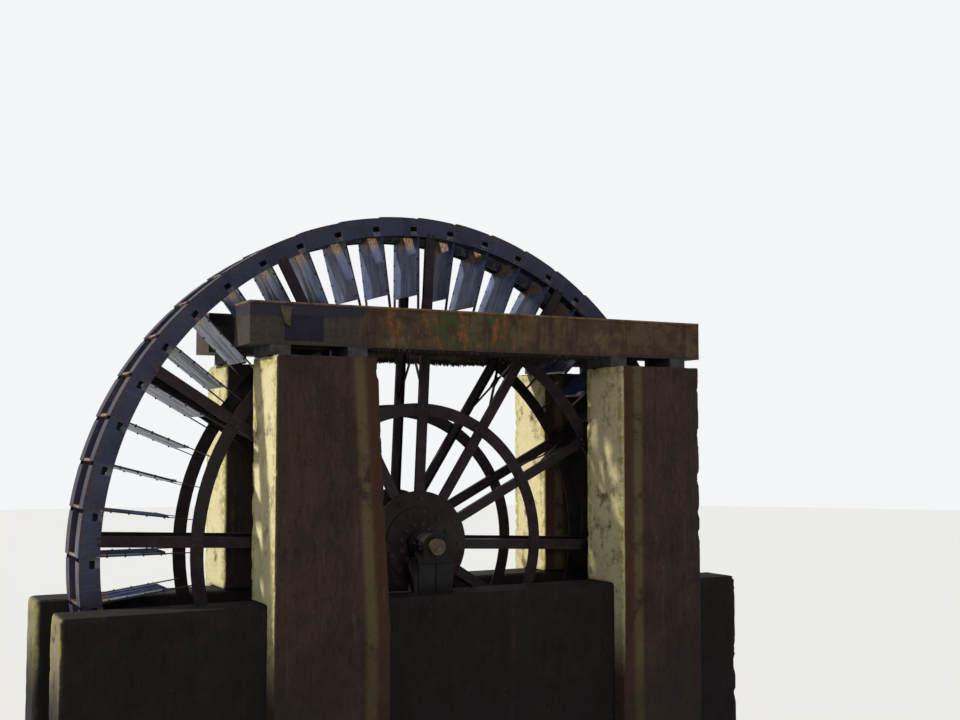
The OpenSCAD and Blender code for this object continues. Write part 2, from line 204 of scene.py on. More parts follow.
# %% Helpers for materials
class Finish:
    """A material under construction, with one method for each kind of node."""

    def __init__(self, name):
        self.material = bpy.data.materials.new(name)
        self.material.use_nodes = True
        self.tree = self.material.node_tree
        self.surface = self.tree.nodes["Principled BSDF"]
        self.place = self.tree.nodes.new("ShaderNodeTexCoord").outputs["Object"]
        self.axes = self.tree.nodes.new("ShaderNodeSeparateXYZ")
        self.tree.links.new(self.place, self.axes.inputs[0])
        self.x, self.y, self.z = self.axes.outputs

    def plug(self, socket, value):
        """Link an output to a socket, or set a plain value on it."""
        if isinstance(value, bpy.types.NodeSocket):
            self.tree.links.new(value, socket)
        elif isinstance(value, tuple) and len(value) == 3 and socket.type == "RGBA":
            socket.default_value = (*value, 1)
        else:
            socket.default_value = value

    def maths(self, operation, first, second=0.0, third=0.0):
        """One sum on up to three values."""
        node = self.tree.nodes.new("ShaderNodeMath")
        node.operation = operation
        for socket, value in zip(node.inputs, (first, second, third)):
            self.plug(socket, value)
        return node.outputs[0]

    def stretched(self, sx, sy, sz):
        """The place, with its own factor along each axis."""
        node = self.tree.nodes.new("ShaderNodeVectorMath")
        node.operation = "MULTIPLY"
        self.plug(node.inputs[0], self.place)
        node.inputs[1].default_value = (sx, sy, sz)
        return node.outputs[0]

    def joined(self, x, y, z):
        """A place made of three values."""
        node = self.tree.nodes.new("ShaderNodeCombineXYZ")
        for socket, value in zip(node.inputs, (x, y, z)):
            self.plug(socket, value)
        return node.outputs[0]

    def cloud(self, scale, detail=5.0, rough=0.55, where=None, twist=0.0):
        """Noise between 0 and 1; twist folds it into itself."""
        node = self.tree.nodes.new("ShaderNodeTexNoise")
        self.plug(node.inputs["Vector"], self.place if where is None else where)
        node.inputs["Scale"].default_value = scale
        node.inputs["Detail"].default_value = detail
        node.inputs["Roughness"].default_value = rough
        node.inputs["Distortion"].default_value = twist
        return node.outputs["Fac"]

    def cells(self, scale):
        """Distance to the nearest of many scattered points."""
        node = self.tree.nodes.new("ShaderNodeTexVoronoi")
        self.plug(node.inputs["Vector"], self.place)
        node.inputs["Scale"].default_value = scale
        return node.outputs["Distance"]

    def mask(self, value, low, high):
        """0 below low, 1 above high, smooth between; falling where low is the larger."""
        node = self.tree.nodes.new("ShaderNodeMapRange")
        node.interpolation_type = "SMOOTHSTEP"
        self.plug(node.inputs["Value"], value)
        swap = low > high
        node.inputs["From Min"].default_value = min(low, high)
        node.inputs["From Max"].default_value = max(low, high)
        node.inputs["To Min"].default_value = 1.0 if swap else 0.0
        node.inputs["To Max"].default_value = 0.0 if swap else 1.0
        return node.outputs["Result"]

    def mix(self, amount, under, over):
        """Two colours, mixed by an amount."""
        node = self.tree.nodes.new("ShaderNodeMix")
        node.data_type = "RGBA"
        self.plug(node.inputs[0], amount)
        self.plug(node.inputs[6], under)
        self.plug(node.inputs[7], over)
        return node.outputs[2]

    def coat(self, base, where, share, colour):
        """Lay a colour over the base, at most by a share, where a mask says."""
        return self.mix(self.both(where, share), base, colour)

    def level(self, amount, under, over):
        """A grey between two plain values, for roughness."""
        return self.mix(amount, (under,) * 3, (over,) * 3)

    def both(self, first, second):
        """High only where both masks are."""
        return self.maths("MULTIPLY", first, second)

    def either(self, first, second):
        """High where one of the masks is."""
        return self.maths("MAXIMUM", first, second)

    def painted(self, name):
        """A value stored on the mesh's points."""
        node = self.tree.nodes.new("ShaderNodeAttribute")
        node.attribute_name = name
        return node.outputs["Fac"]

    def relief(self, height, depth, strength=1.0, under=None):
        """Bumps of a depth in metres, on top of another relief if one is given."""
        node = self.tree.nodes.new("ShaderNodeBump")
        node.inputs["Strength"].default_value = strength
        node.inputs["Distance"].default_value = depth
        self.plug(node.inputs["Height"], height)
        if under is not None:
            self.plug(node.inputs["Normal"], under)
        return node.outputs[0]

    def done(self, colour, rough, bump, metal=0.0, shine=0.5):
        """Plug the recipe into the surface and hand the material over."""
        self.plug(self.surface.inputs["Base Color"], colour)
        self.plug(self.surface.inputs["Roughness"], rough)
        self.plug(self.surface.inputs["Metallic"], metal)
        self.plug(self.surface.inputs["Normal"], bump)
        self.surface.inputs["Specular IOR Level"].default_value = shine
        return self.material


def times(colour, factor):
    """The same colour, darker or lighter."""
    return tuple(factor * c for c in colour)


print("finish helpers ready")

# %% [markdown]
# ## Rendered masonry
# The piers and walls have a sand and lime render. In the shade of the wheel it is an even dark brown
# with a fine grain, with rust-red stain down the edge next to the wheel, a paler olive band beside that
# and long faint runs. The side that faces the sun is painted cream, as painted sunlight. Broad blotches
# would look like camouflage, so most of the detail is small.

# %% Masonry finish
OLIVE_BAND = (0.150, 0.116, 0.055)
RUST_STAIN = (0.080, 0.032, 0.017)
CORNER_YELLOW = (0.420, 0.400, 0.080)
STONE_MOSS = (0.070, 0.088, 0.024)
DARK_FULL_Z = 1.8
DARK_START_Z = 4.6


def masonry_finish(name, low, high, dry):
    """Render in the shade between two browns, and a painted sunlit colour on the side facing the sun."""
    f = Finish(name)
    broad = f.cloud(0.7, 3)
    patch = f.cloud(2.6, 9, 0.68, twist=0.3)
    grain = f.cloud(30, 8, 0.75)
    grit = f.cloud(95, 5, 0.75)
    runs = f.cloud(1.0, 8, 0.68, where=f.stretched(9.0, 9.0, 0.34))
    worn = f.cloud(1.0, 10, 0.78, where=f.stretched(17.0, 17.0, 5.0), twist=0.6)
    base = f.mix(f.mask(patch, 0.30, 0.70), low, high)
    base = f.coat(base, f.mask(broad, 0.40, 0.66), 0.30, times(high, 1.25))
    base = f.coat(base, f.mask(runs, 0.48, 0.66), 0.35, times(low, 0.50))
    base = f.coat(base, f.mask(worn, 0.52, 0.62), 0.55, times(low, 0.42))
    base = f.coat(base, f.mask(worn, 0.46, 0.36), 0.35, times(high, 1.7))
    lime = f.both(f.mask(runs, 0.42, 0.34), f.mask(f.cloud(2.2, 9, 0.7), 0.48, 0.60))
    base = f.coat(base, lime, 0.45, times(high, 2.6))

    inner = f.painted("inner")
    band = f.both(f.mask(inner, 0.10, 0.35), f.mask(inner, 0.90, 0.60))
    base = f.coat(base, f.both(band, f.mask(patch, 0.32, 0.50)), 0.80, OLIVE_BAND)
    stain = f.both(f.mask(inner, 0.55, 0.90), f.mask(f.cloud(5.5, 9, 0.72, twist=0.5), 0.34, 0.54))
    base = f.coat(base, stain, 0.85, RUST_STAIN)
    # Painted sunlight: the side that faces the sun takes the sunlit colour.
    sunned = f.both(f.painted("dry"), f.mask(f.cloud(4.0, 9, 0.7), 0.72, 0.50))
    base = f.coat(base, sunned, 0.95, dry)
    # Yellow near the edges, only on the side painted as sunlit.
    corner = f.both(f.painted("dry"), f.mask(f.painted("edge"), 0.62, 0.92))
    yellow = f.both(corner, f.mask(f.cloud(11, 8, 0.7), 0.42, 0.60))
    base = f.coat(base, yellow, 0.85, CORNER_YELLOW)

    damp = f.both(f.painted("damp"), f.mask(f.cloud(1.9, 8, 0.66), 0.28, 0.60))
    base = f.coat(base, damp, 0.72, times(low, 0.32))
    # Darker towards the bottom.
    darker_low = f.both(f.mask(f.z, DARK_START_Z, DARK_FULL_Z), f.mask(f.cloud(0.9, 8, 0.7), 0.25, 0.60))
    base = f.coat(base, darker_low, 0.60, times(low, 0.40))
    moss_place = f.either(f.painted("damp"), 0.10)
    moss = f.both(moss_place, f.mask(f.cloud(6.2, 10, 0.74, twist=0.6), 0.60, 0.67))
    base = f.coat(base, moss, 0.75, STONE_MOSS)
    base = f.coat(base, f.mask(grain, 0.54, 0.68), 0.55, times(low, 0.30))
    base = f.coat(base, f.mask(grain, 0.42, 0.30), 0.25, times(high, 1.8))

    fine = f.relief(grit, 0.003, 0.9)
    rough_cast = f.relief(worn, 0.008, 0.8, f.relief(grain, 0.007, 0.9, fine))
    pits = f.relief(f.mask(f.cells(15), 0.06, 0.22), 0.005, 0.5, rough_cast)
    return f.done(base, f.level(damp, 0.95, 0.60), pits, shine=0.25)


MASONRY = masonry_finish(
    "masonry", low=(0.037, 0.024, 0.021), high=(0.068, 0.043, 0.033), dry=(0.820, 0.745, 0.440))
# The walls' copy is the same recipe about three times darker: painted shade for the walls in the wheel's
# shadow, and damp.
SHADED_DAMP_MASONRY = masonry_finish(
    "wet_masonry", low=(0.011, 0.008, 0.008), high=(0.024, 0.017, 0.016), dry=(0.340, 0.300, 0.190))
print("masonry nodes", len(MASONRY.node_tree.nodes))

# %% [markdown]
# ## Dark rusted iron
# Spokes, rings and hub are rolled steel with a dark red-brown rust skin, nearly black where they are
# wet, with orange blooms and pale lime at places. Rust is not a metal to light, so the surface stays
# a rough dielectric; only thin wear lets a little metal through.

# %% Rusted iron finish
IRON_LIME = (0.150, 0.120, 0.105)


def iron_finish(name, deep, middle, bloom, bloom_share, wet):
    """Rolled iron under rust; wet sets how much of it is dark and smooth."""
    f = Finish(name)
    skin = f.cloud(6.5, 9, 0.66, twist=0.3)
    speck = f.cloud(60, 6, 0.72)
    broad = f.cloud(1.3, 5)
    base = f.mix(f.mask(skin, 0.34, 0.64), deep, middle)
    bloom_place = f.mask(f.cloud(3.4, 9, 0.7, twist=0.5), 0.60 - 0.12 * bloom_share, 0.70)
    base = f.coat(base, f.both(bloom_place, f.mask(speck, 0.38, 0.6)), 0.8, bloom)
    damp = f.mask(broad, 0.66 - 0.3 * wet, 0.78 - 0.3 * wet)
    base = f.coat(base, damp, 0.6, times(deep, 0.45))
    base = f.coat(base, f.mask(f.cloud(9, 8, 0.7), 0.64, 0.74), 0.25, IRON_LIME)
    scale = f.relief(skin, 0.0045, 0.7, f.relief(speck, 0.0016, 0.8))
    return f.done(base, f.level(damp, 0.72, 0.38), scale, metal=0.05, shine=0.28)


print("iron recipe ready")

# %% Five irons
WHEEL_IRON = iron_finish(
    "wheel_iron", deep=(0.012, 0.007, 0.010), middle=(0.032, 0.017, 0.021), bloom=(0.080, 0.032, 0.022),
    bloom_share=0.15, wet=0.6)
HUB_IRON = iron_finish(
    "hub_iron", deep=(0.009, 0.004, 0.005), middle=(0.024, 0.010, 0.011), bloom=(0.060, 0.023, 0.015),
    bloom_share=0.3, wet=0.35)
# Painted shade: the bearings' iron is near black for the wheel's shadow that they sit in.
SHADED_BEARING_IRON = iron_finish(
    "bearing_iron", deep=(0.004, 0.003, 0.003), middle=(0.012, 0.007, 0.007), bloom=(0.040, 0.022, 0.014),
    bloom_share=0.2, wet=0.4)
BOLT_IRON = iron_finish(
    "bolt_iron", deep=(0.020, 0.013, 0.013), middle=(0.062, 0.036, 0.030), bloom=(0.150, 0.070, 0.040),
    bloom_share=0.6, wet=0.2)
PATCH_IRON = iron_finish(
    "patch_iron", deep=(0.010, 0.009, 0.020), middle=(0.019, 0.018, 0.038), bloom=(0.060, 0.034, 0.030),
    bloom_share=0.1, wet=0.3)
print("iron nodes", len(WHEEL_IRON.node_tree.nodes))

# %% [markdown]
# ## The wet rim
# The buckets' plates are sheet steel that never dries: dark blue-grey, smoother where it is wettest,
# with rust at the seams and a pale lime run from every outlet. The pattern has to repeat with the
# buckets, so the finish works out the angle round the shaft and folds it to one bucket.

# %% Rim finish
def round_the_shaft(f):
    """Angle in buckets from straight up, and the distance from the shaft."""
    height = f.maths("SUBTRACT", f.z, SHAFT_Z)
    angle = f.maths("ARCTAN2", f.x, height)
    buckets = f.maths("MULTIPLY", angle, BUCKETS / (2 * math.pi))
    squared = f.maths("ADD", f.both(f.x, f.x), f.both(height, height))
    return buckets, f.maths("SQRT", squared)


RIM_DEEP = (0.012, 0.016, 0.046)
RIM_PALE = (0.028, 0.036, 0.086)
RIM_TONE = (0.040, 0.036, 0.050)
RIM_STREAK = (0.080, 0.088, 0.130)
SEAM_RUST = (0.085, 0.045, 0.034)
OUTLET_LIME = (0.240, 0.240, 0.250)
RIM_MOSS = (0.075, 0.082, 0.028)
OUTLET_SHARE = 0.858


def rim_finish():
    """Wet sheet steel, with its seams and lime runs repeated in every bucket."""
    f = Finish("rim_steel")
    buckets, radius = round_the_shaft(f)
    counted = f.maths("ADD", buckets, float(BUCKETS))
    along = f.maths("FRACT", counted)
    own = f.maths("MULTIPLY", f.maths("FLOOR", counted), 0.37)
    skin = f.cloud(3.1, 8, 0.6)
    speck = f.cloud(48, 6, 0.7)
    base = f.mix(f.mask(skin, 0.35, 0.66), RIM_DEEP, RIM_PALE)
    tone = f.tree.nodes.new("ShaderNodeTexWhiteNoise")
    tone.noise_dimensions = "1D"
    f.plug(tone.inputs["W"], own)
    base = f.coat(base, tone.outputs["Value"], 0.30, RIM_TONE)
    streak_place = f.joined(f.maths("MULTIPLY", buckets, 9.0), 0.0, f.maths("MULTIPLY", radius, 1.1))
    streaks = f.cloud(1.0, 6, 0.6, where=streak_place)
    base = f.coat(base, f.mask(streaks, 0.52, 0.70), 0.30, RIM_STREAK)

    near_seam = f.either(f.mask(along, 0.10, 0.0), f.mask(along, 0.93, 1.0))
    near_cover = f.mask(radius, WHEEL_R - 0.11, WHEEL_R - 0.02)
    rust = f.both(f.either(near_seam, near_cover), f.mask(f.cloud(7.5, 8, 0.7), 0.42, 0.60))
    base = f.coat(base, rust, 0.60, SEAM_RUST)
    off_outlet = f.maths("ABSOLUTE", f.maths("SUBTRACT", along, OUTLET_SHARE))
    below = f.both(f.mask(off_outlet, 0.13, 0.05), f.mask(radius, WHEEL_R - 0.12, WHEEL_R - 0.20))
    lime = f.both(below, f.mask(f.cloud(14, 6, 0.6), 0.36, 0.62))
    base = f.coat(base, lime, 0.5, OUTLET_LIME)
    lower_edge = f.mask(radius, WHEEL_R - 0.17, WHEEL_R - 0.23)
    base = f.coat(base, f.both(lower_edge, f.mask(f.cloud(8.5, 9, 0.7), 0.55, 0.66)), 0.7, RIM_MOSS)

    film = f.mask(f.cloud(1.6, 5), 0.40, 0.62)
    dents = f.relief(f.cloud(2.6, 4), 0.016, 0.5, f.relief(speck, 0.0012, 0.6))
    return f.done(base, f.level(film, 0.62, 0.34), dents, metal=0.3)


RIM_STEEL = rim_finish()
print("rim nodes", len(RIM_STEEL.node_tree.nodes))

# %% [markdown]
# ## Wet blades
# The blades are rust-brown sheet, wet all over. Their grey-blue is painted skylight and painted sky
# reflection on the wet steel, and their long wet runs are painted paler still as a painted sheen. Their
# outer ends between the rings, where the sun falls, show the sheet's own rust as a painted sunlit patch.
# Moss and rust sit along their edges, most on the edge nearer the shaft, where drops hang longest. The
# runs follow the radius, because a blade is only upright as it passes top and bottom.

# %% Blade finish
SKYLIT_BLADE_DEEP = (0.046, 0.066, 0.150)
SKYLIT_BLADE_PALE = (0.115, 0.156, 0.300)
WET_RUN_SHEEN = (0.330, 0.410, 0.620)
DARK_RUN = (0.040, 0.048, 0.095)
BLADE_BROWN = (0.130, 0.072, 0.048)
SUNLIT_RUST_DEEP = (0.120, 0.055, 0.034)
SUNLIT_RUST_PALE = (0.420, 0.270, 0.150)
BLADE_GROWTH = (0.085, 0.072, 0.034)
BLADE_GRIME = (0.030, 0.030, 0.044)


def blade_finish():
    """Wet sheet: painted skylight blue, painted sheen on its runs, painted sunlit rust at its outer ends,
    growth along its edges.
    """
    f = Finish("blade_steel")
    buckets, radius = round_the_shaft(f)
    side = f.maths("ABSOLUTE", f.y)
    run_place = f.joined(f.maths("MULTIPLY", f.y, 14.0), buckets, f.maths("MULTIPLY", radius, 1.3))
    runs = f.cloud(1.0, 8, 0.66, where=run_place)
    skin = f.cloud(4.2, 9, 0.66)
    fine = f.cloud(26, 7, 0.72)
    # Painted skylight and sheen: the grey-blue base and the pale runs stand for sky light and its
    # reflection on wet steel.
    base = f.mix(f.mask(skin, 0.34, 0.68), SKYLIT_BLADE_DEEP, SKYLIT_BLADE_PALE)
    base = f.coat(base, f.mask(runs, 0.54, 0.74), 0.40, WET_RUN_SHEEN)
    base = f.coat(base, f.mask(runs, 0.44, 0.30), 0.25, DARK_RUN)
    brown = f.both(f.mask(f.cloud(1.7, 9, 0.7, twist=0.4), 0.58, 0.68), f.mask(fine, 0.40, 0.56))
    base = f.coat(base, brown, 0.5, BLADE_BROWN)

    # Painted sunlit patch: the outer ends between the rings take the rust colour that the sheet shows in
    # sun.
    wander = f.maths("MULTIPLY_ADD", f.cloud(5.0, 8, 0.7), 0.30, -0.15)
    outer_end = f.mask(f.maths("ADD", radius, wander), WHEEL_R - 0.40, WHEEL_R - 0.30)
    sunlit_outer_end = f.both(outer_end, f.mask(side, RING_IN_Y + 0.11, RING_IN_Y + 0.01))
    base = f.coat(base, sunlit_outer_end, 0.90, f.mix(f.mask(fine, 0.40, 0.60), SUNLIT_RUST_DEEP, SUNLIT_RUST_PALE))

    side_edge = f.mask(side, PLATE_IN_Y - 0.085, PLATE_IN_Y - 0.010)
    inner_edge = f.mask(radius, WHEEL_R - 0.86, WHEEL_R - 0.97)
    beside_tongue = f.mask(side, RING_IN_Y - 0.02, RING_IN_Y + 0.01)
    step_edge = f.both(f.mask(radius, WHEEL_R - 0.31, WHEEL_R - 0.24), beside_tongue)
    edges = f.either(f.either(side_edge, inner_edge), step_edge)
    growth = f.both(edges, f.mask(f.cloud(6.0, 10, 0.74, twist=0.5), 0.48, 0.62))
    base = f.coat(base, growth, 0.75, BLADE_GROWTH)
    base = f.coat(base, f.mask(fine, 0.58, 0.70), 0.35, BLADE_GRIME)

    film = f.mask(runs, 0.38, 0.60)
    pressed = f.relief(fine, 0.002, 0.6, f.relief(runs, 0.004, 0.5))
    waves = f.relief(f.cloud(2.2, 3), 0.03, 0.45, pressed)
    return f.done(base, f.level(film, 0.55, 0.26), waves, metal=0.25)


BLADE_STEEL = blade_finish()
print("blade nodes", len(BLADE_STEEL.node_tree.nodes))

# %% [markdown]
# ## The launders' rust
# The launders are old sheet. To the right of the first lap it is brown and orange with green moss
# patches, and to the left dark with a blue-grey stain in the upper third. A ragged line between the
# two comes from adding noise to the distance along the launder before it is masked.

# %% Launder finish
LAP_X = -1.02
RUST_DEEP = (0.045, 0.029, 0.020)
RUST_BROWN = (0.120, 0.077, 0.042)
RUST_TAN = (0.200, 0.142, 0.078)
RUST_ORANGE = (0.330, 0.105, 0.026)
DRIP = (0.034, 0.020, 0.018)
LEFT_DEEP = (0.026, 0.021, 0.019)
LEFT_BROWN = (0.058, 0.046, 0.032)
BLUE_STAIN = (0.018, 0.017, 0.032)
LAUNDER_MOSS = (0.046, 0.078, 0.022)
SUNLIT_TOP_RUST = (0.330, 0.180, 0.085)
FOOT_SILT = (0.050, 0.040, 0.026)
RUST_SPECK = (0.026, 0.018, 0.014)


def launder_finish():
    """Old sheet: orange and green to the right of the lap, dark and blue-grey to the left."""
    f = Finish("launder_steel")
    skin = f.cloud(3.6, 9, 0.66, twist=0.4)
    fine = f.cloud(17, 8, 0.7)
    speck = f.cloud(75, 5, 0.7)
    drips = f.cloud(1.0, 7, 0.62, where=f.stretched(7.0, 7.0, 0.8))
    base = f.mix(f.mask(skin, 0.34, 0.62), RUST_DEEP, RUST_BROWN)
    base = f.coat(base, f.mask(f.cloud(2.0, 9, 0.68), 0.52, 0.66), 0.6, RUST_TAN)
    rusty_zone = f.both(f.mask(f.x, -1.0, -0.55), f.mask(f.x, 1.3, 0.7))
    rust_run = f.cloud(1.0, 10, 0.74, where=f.stretched(5.2, 5.2, 2.4), twist=0.5)
    orange = f.either(f.both(rusty_zone, f.mask(rust_run, 0.50, 0.60)), f.mask(rust_run, 0.58, 0.68))
    base = f.coat(base, f.both(orange, f.mask(fine, 0.36, 0.56)), 0.9, RUST_ORANGE)
    base = f.coat(base, f.mask(drips, 0.50, 0.66), 0.75, DRIP)

    across = f.maths("ADD", f.x, f.maths("MULTIPLY_ADD", f.cloud(2.6, 7, 0.65), 0.9, -0.45))
    left = f.mask(across, LAP_X + 0.10, LAP_X - 0.10)
    base = f.coat(base, left, 0.85, f.mix(f.mask(fine, 0.38, 0.62), LEFT_DEEP, LEFT_BROWN))
    height = f.maths("ADD", f.z, f.maths("MULTIPLY_ADD", f.cloud(4.0, 6, 0.6), 0.14, -0.07))
    upper_third = f.mask(height, LAUNDER_TOP - 0.19, LAUNDER_TOP - 0.14)
    base = f.coat(base, f.both(left, upper_third), 0.90, BLUE_STAIN)

    green_zone = f.both(f.mask(f.x, -0.35, 0.0), f.mask(f.x, 1.5, 0.9))
    mossy = f.cloud(4.0, 11, 0.78, twist=0.6)
    green = f.either(f.both(green_zone, f.mask(mossy, 0.49, 0.56)), f.mask(mossy, 0.60, 0.66))
    base = f.coat(base, green, 0.9, LAUNDER_MOSS)
    # Rust along the top edge, painted as bright as the sunlit lip: real rust and a painted highlight.
    top_edge = f.mask(f.z, LAUNDER_TOP - 0.030, LAUNDER_TOP - 0.004)
    base = f.coat(base, f.both(top_edge, f.mask(f.cloud(8.0, 7, 0.7), 0.36, 0.54)), 0.85, SUNLIT_TOP_RUST)
    foot = f.mask(height, LAUNDER[0][2] + 0.07, LAUNDER[0][2])
    base = f.coat(base, foot, 0.7, FOOT_SILT)
    base = f.coat(base, f.mask(speck, 0.57, 0.68), 0.5, RUST_SPECK)

    grain = f.relief(fine, 0.004, 0.8, f.relief(speck, 0.0015, 0.8))
    flakes = f.relief(f.mask(skin, 0.40, 0.56), 0.005, 0.8, grain)
    return f.done(base, f.level(left, 0.86, 0.62), flakes, shine=0.3)


LAUNDER_RUST = launder_finish()
print("launder nodes", len(LAUNDER_RUST.node_tree.nodes))

# %% [markdown]
# ## Smaller finishes
# The shaft's ends are polished tan by old grease, the blocks under the bearings are near-black stone,
# and the bearers are wet concrete. The growth under the launders is dark moss over lime. Each is a short
# recipe of its own.

# %% Shaft, stone and crust finishes
GREASE_DEEP = (0.060, 0.042, 0.026)
GREASE_TAN = (0.120, 0.085, 0.052)
GREASE_SPOT = (0.060, 0.042, 0.030)


def shaft_finish():
    """Turned steel under a smear of old grease."""
    f = Finish("shaft_steel")
    turned_marks = f.cloud(1.0, 5, 0.6, where=f.stretched(3, 60, 3))
    smear = f.cloud(9, 7, 0.6)
    base = f.mix(f.mask(smear, 0.38, 0.62), GREASE_DEEP, GREASE_TAN)
    base = f.coat(base, f.mask(f.cloud(22, 6, 0.7), 0.56, 0.68), 0.7, GREASE_SPOT)
    rough = f.level(f.mask(smear, 0.4, 0.6), 0.55, 0.32)
    return f.done(base, rough, f.relief(turned_marks, 0.0012, 0.6), metal=0.45)


def block_finish(name, low, high, rough, growth):
    """Stone or crust between two tones, with patches of growth."""
    f = Finish(name)
    patch = f.cloud(7, 8, 0.65)
    grit = f.cloud(70, 5, 0.7)
    base = f.mix(f.mask(patch, 0.35, 0.65), low, high)
    base = f.coat(base, f.mask(f.cloud(9, 8, 0.7), 0.56, 0.66), 0.7, growth)
    base = f.coat(base, f.mask(grit, 0.55, 0.68), 0.4, times(low, 0.4))
    lumps = f.relief(patch, 0.008, 0.7, f.relief(grit, 0.003, 0.8))
    return f.done(base, rough, lumps, shine=0.25)


SHAFT_STEEL = shaft_finish()
NEAR_BLACK_STONE = block_finish(
    "oily_stone", low=(0.004, 0.003, 0.004), high=(0.010, 0.007, 0.008), rough=0.60,
    growth=(0.018, 0.013, 0.011))
BEARER_STONE = block_finish(
    "bearer_stone", low=(0.050, 0.044, 0.048), high=(0.110, 0.095, 0.098), rough=0.72,
    growth=(0.060, 0.062, 0.034))
CRUST = block_finish(
    "moss_crust", low=(0.012, 0.008, 0.010), high=(0.036, 0.024, 0.026), rough=0.80,
    growth=(0.150, 0.120, 0.085))
print("materials", len(bpy.data.materials))

# %% [markdown]
# ## Dressing the frame's own plates
# The plates of the frame already have the right shape, so they only get their finish. A table of
# names and finishes says it plainest, and every family of nodes is in it. Some of these nodes get a
# stand-in further down.

# %% Finishes on the frame
NODE_FINISH = {
    "launder_floor": LAUNDER_RUST, "launder_outer_side": LAUNDER_RUST, "launder_inner_side": LAUNDER_RUST,
    "launder_ends": LAUNDER_RUST,
    "bearing_blocks": NEAR_BLACK_STONE, "bearing": SHADED_BEARING_IRON,
    "shaft": SHAFT_STEEL, "hub_disc": HUB_IRON, "hub_boss": HUB_IRON, "spokes": WHEEL_IRON,
    "middle_ring": WHEEL_IRON, "ring_splices": WHEEL_IRON, "crown_ring": WHEEL_IRON,
    "spoke_braces": WHEEL_IRON, "brace_plates": WHEEL_IRON, "blade_arms": WHEEL_IRON,
    "blades": BLADE_STEEL, "rim_plates": RIM_STEEL,
    "bucket_soles": RIM_STEEL, "bucket_dividers": RIM_STEEL, "bucket_covers": RIM_STEEL,
    "launder_bearers": BEARER_STONE, "channel_wall": SHADED_DAMP_MASONRY, "pier_front_left": MASONRY,
    "pier_front_right": MASONRY, "pier_back_left": MASONRY, "pier_back_right": MASONRY,
}
for node_name, node_object in frame["nodes"].items():
    family = node_name.removesuffix("_front").removesuffix("_back")
    node_object.data.materials.clear()
    node_object.data.materials.append(NODE_FINISH[family])
print("dressed", len(frame["nodes"]), "nodes")

# %% [markdown]
# ## Worn masonry forms
# A rendered pier is never a crisp box: its edges are chipped and its faces wander by a few
# millimetres. Each pier and wall is cut into small even faces by a voxel remesh of its own node and
# pressed inwards by noise. It is only ever pressed inwards, so it stays within the frame's own
# size, and hardly or not at all where it touches its neighbour.

# %% A named piece
def keep_piece(name, mesh, finish, body):
    """Make a mesh a named piece that rides on a body."""
    mesh.materials.clear()
    mesh.materials.append(finish)
    piece = bpy.data.objects.new(name, mesh)
    bpy.context.scene.collection.objects.link(piece)
    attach(piece, body)
    return piece


print("pieces can be kept")

# %% Helpers for masonry
def even_mesh(source, voxel, corner):
    """A copy of a node's mesh with round corners, cut into even faces."""
    raw = bpy.data.objects.new("raw", source.data.copy())
    bpy.context.scene.collection.objects.link(raw)
    form = bmesh.new()
    form.from_mesh(raw.data)
    bmesh.ops.remove_doubles(form, verts=form.verts, dist=0.0005)
    bmesh.ops.dissolve_limit(form, angle_limit=math.radians(2), verts=form.verts, edges=form.edges)
    form.to_mesh(raw.data)
    form.free()
    bevel = raw.modifiers.new("corner", "BEVEL")
    bevel.width = corner
    bevel.segments = 2
    remesh = raw.modifiers.new("even", "REMESH")
    remesh.mode = "VOXEL"
    remesh.voxel_size = voxel
    graph = bpy.context.evaluated_depsgraph_get()
    mesh = bpy.data.meshes.new_from_object(raw.evaluated_get(graph))
    bpy.data.objects.remove(raw)
    return mesh


def near_edge(point, low, high, slope=None):
    """Distance to the second nearest face of a box, which is small along its edges."""
    right = slope(point.z) if slope else high[0]
    gaps = sorted((
        point.x - low[0], right - point.x, point.y - low[1], high[1] - point.y, high[2] - point.z,
    ))
    return max(gaps[1], 0.0)


def smooth_step(value, low, high):
    """0 below low, 1 above high, smooth between."""
    t = min(max((value - low) / (high - low), 0.0), 1.0)
    return t * t * (3 - 2 * t)


print("masonry helpers ready")

# %% [markdown]
# ## Pressing wear into the masonry
# Three kinds of wear are added up: a slow wander, the float's marks, and chips along the edges. Where
# edges are, which side faces the sun and where damp sits is painted on the points, so that the finish
# can put stain, painted sunlit cream and moss in the right places.

# %% Wear on walls and piers
WALL_Y = abs(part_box("channel_wall_front")[0][1])
LEAST_WEAR = 0.001
WANDER = 0.005
FLOAT_MARK = 0.005
PIER_CHIP = 0.018
WALL_CHIP = 0.030
CONTACT = 0.04


def wear_depth(point, rim, seed, chip_depth):
    """How deep a point is pressed in, at a distance from the nearest edge."""
    slow = 0.5 + 0.5 * noise.noise(point * 0.9 + Vector((seed, 0, 0)))
    mark = smooth_step(noise.fractal(point * 4.5, 0.9, 2.0, 4), -0.2, 0.5)
    chip = smooth_step(noise.fractal(point * 3.4 + Vector((0, seed, 0)), 0.7, 2.1, 4), 0.10, 0.50)
    chip *= 1 - smooth_step(rim, 0.008, 0.070)
    return LEAST_WEAR + WANDER * slow + FLOAT_MARK * mark + chip_depth * chip


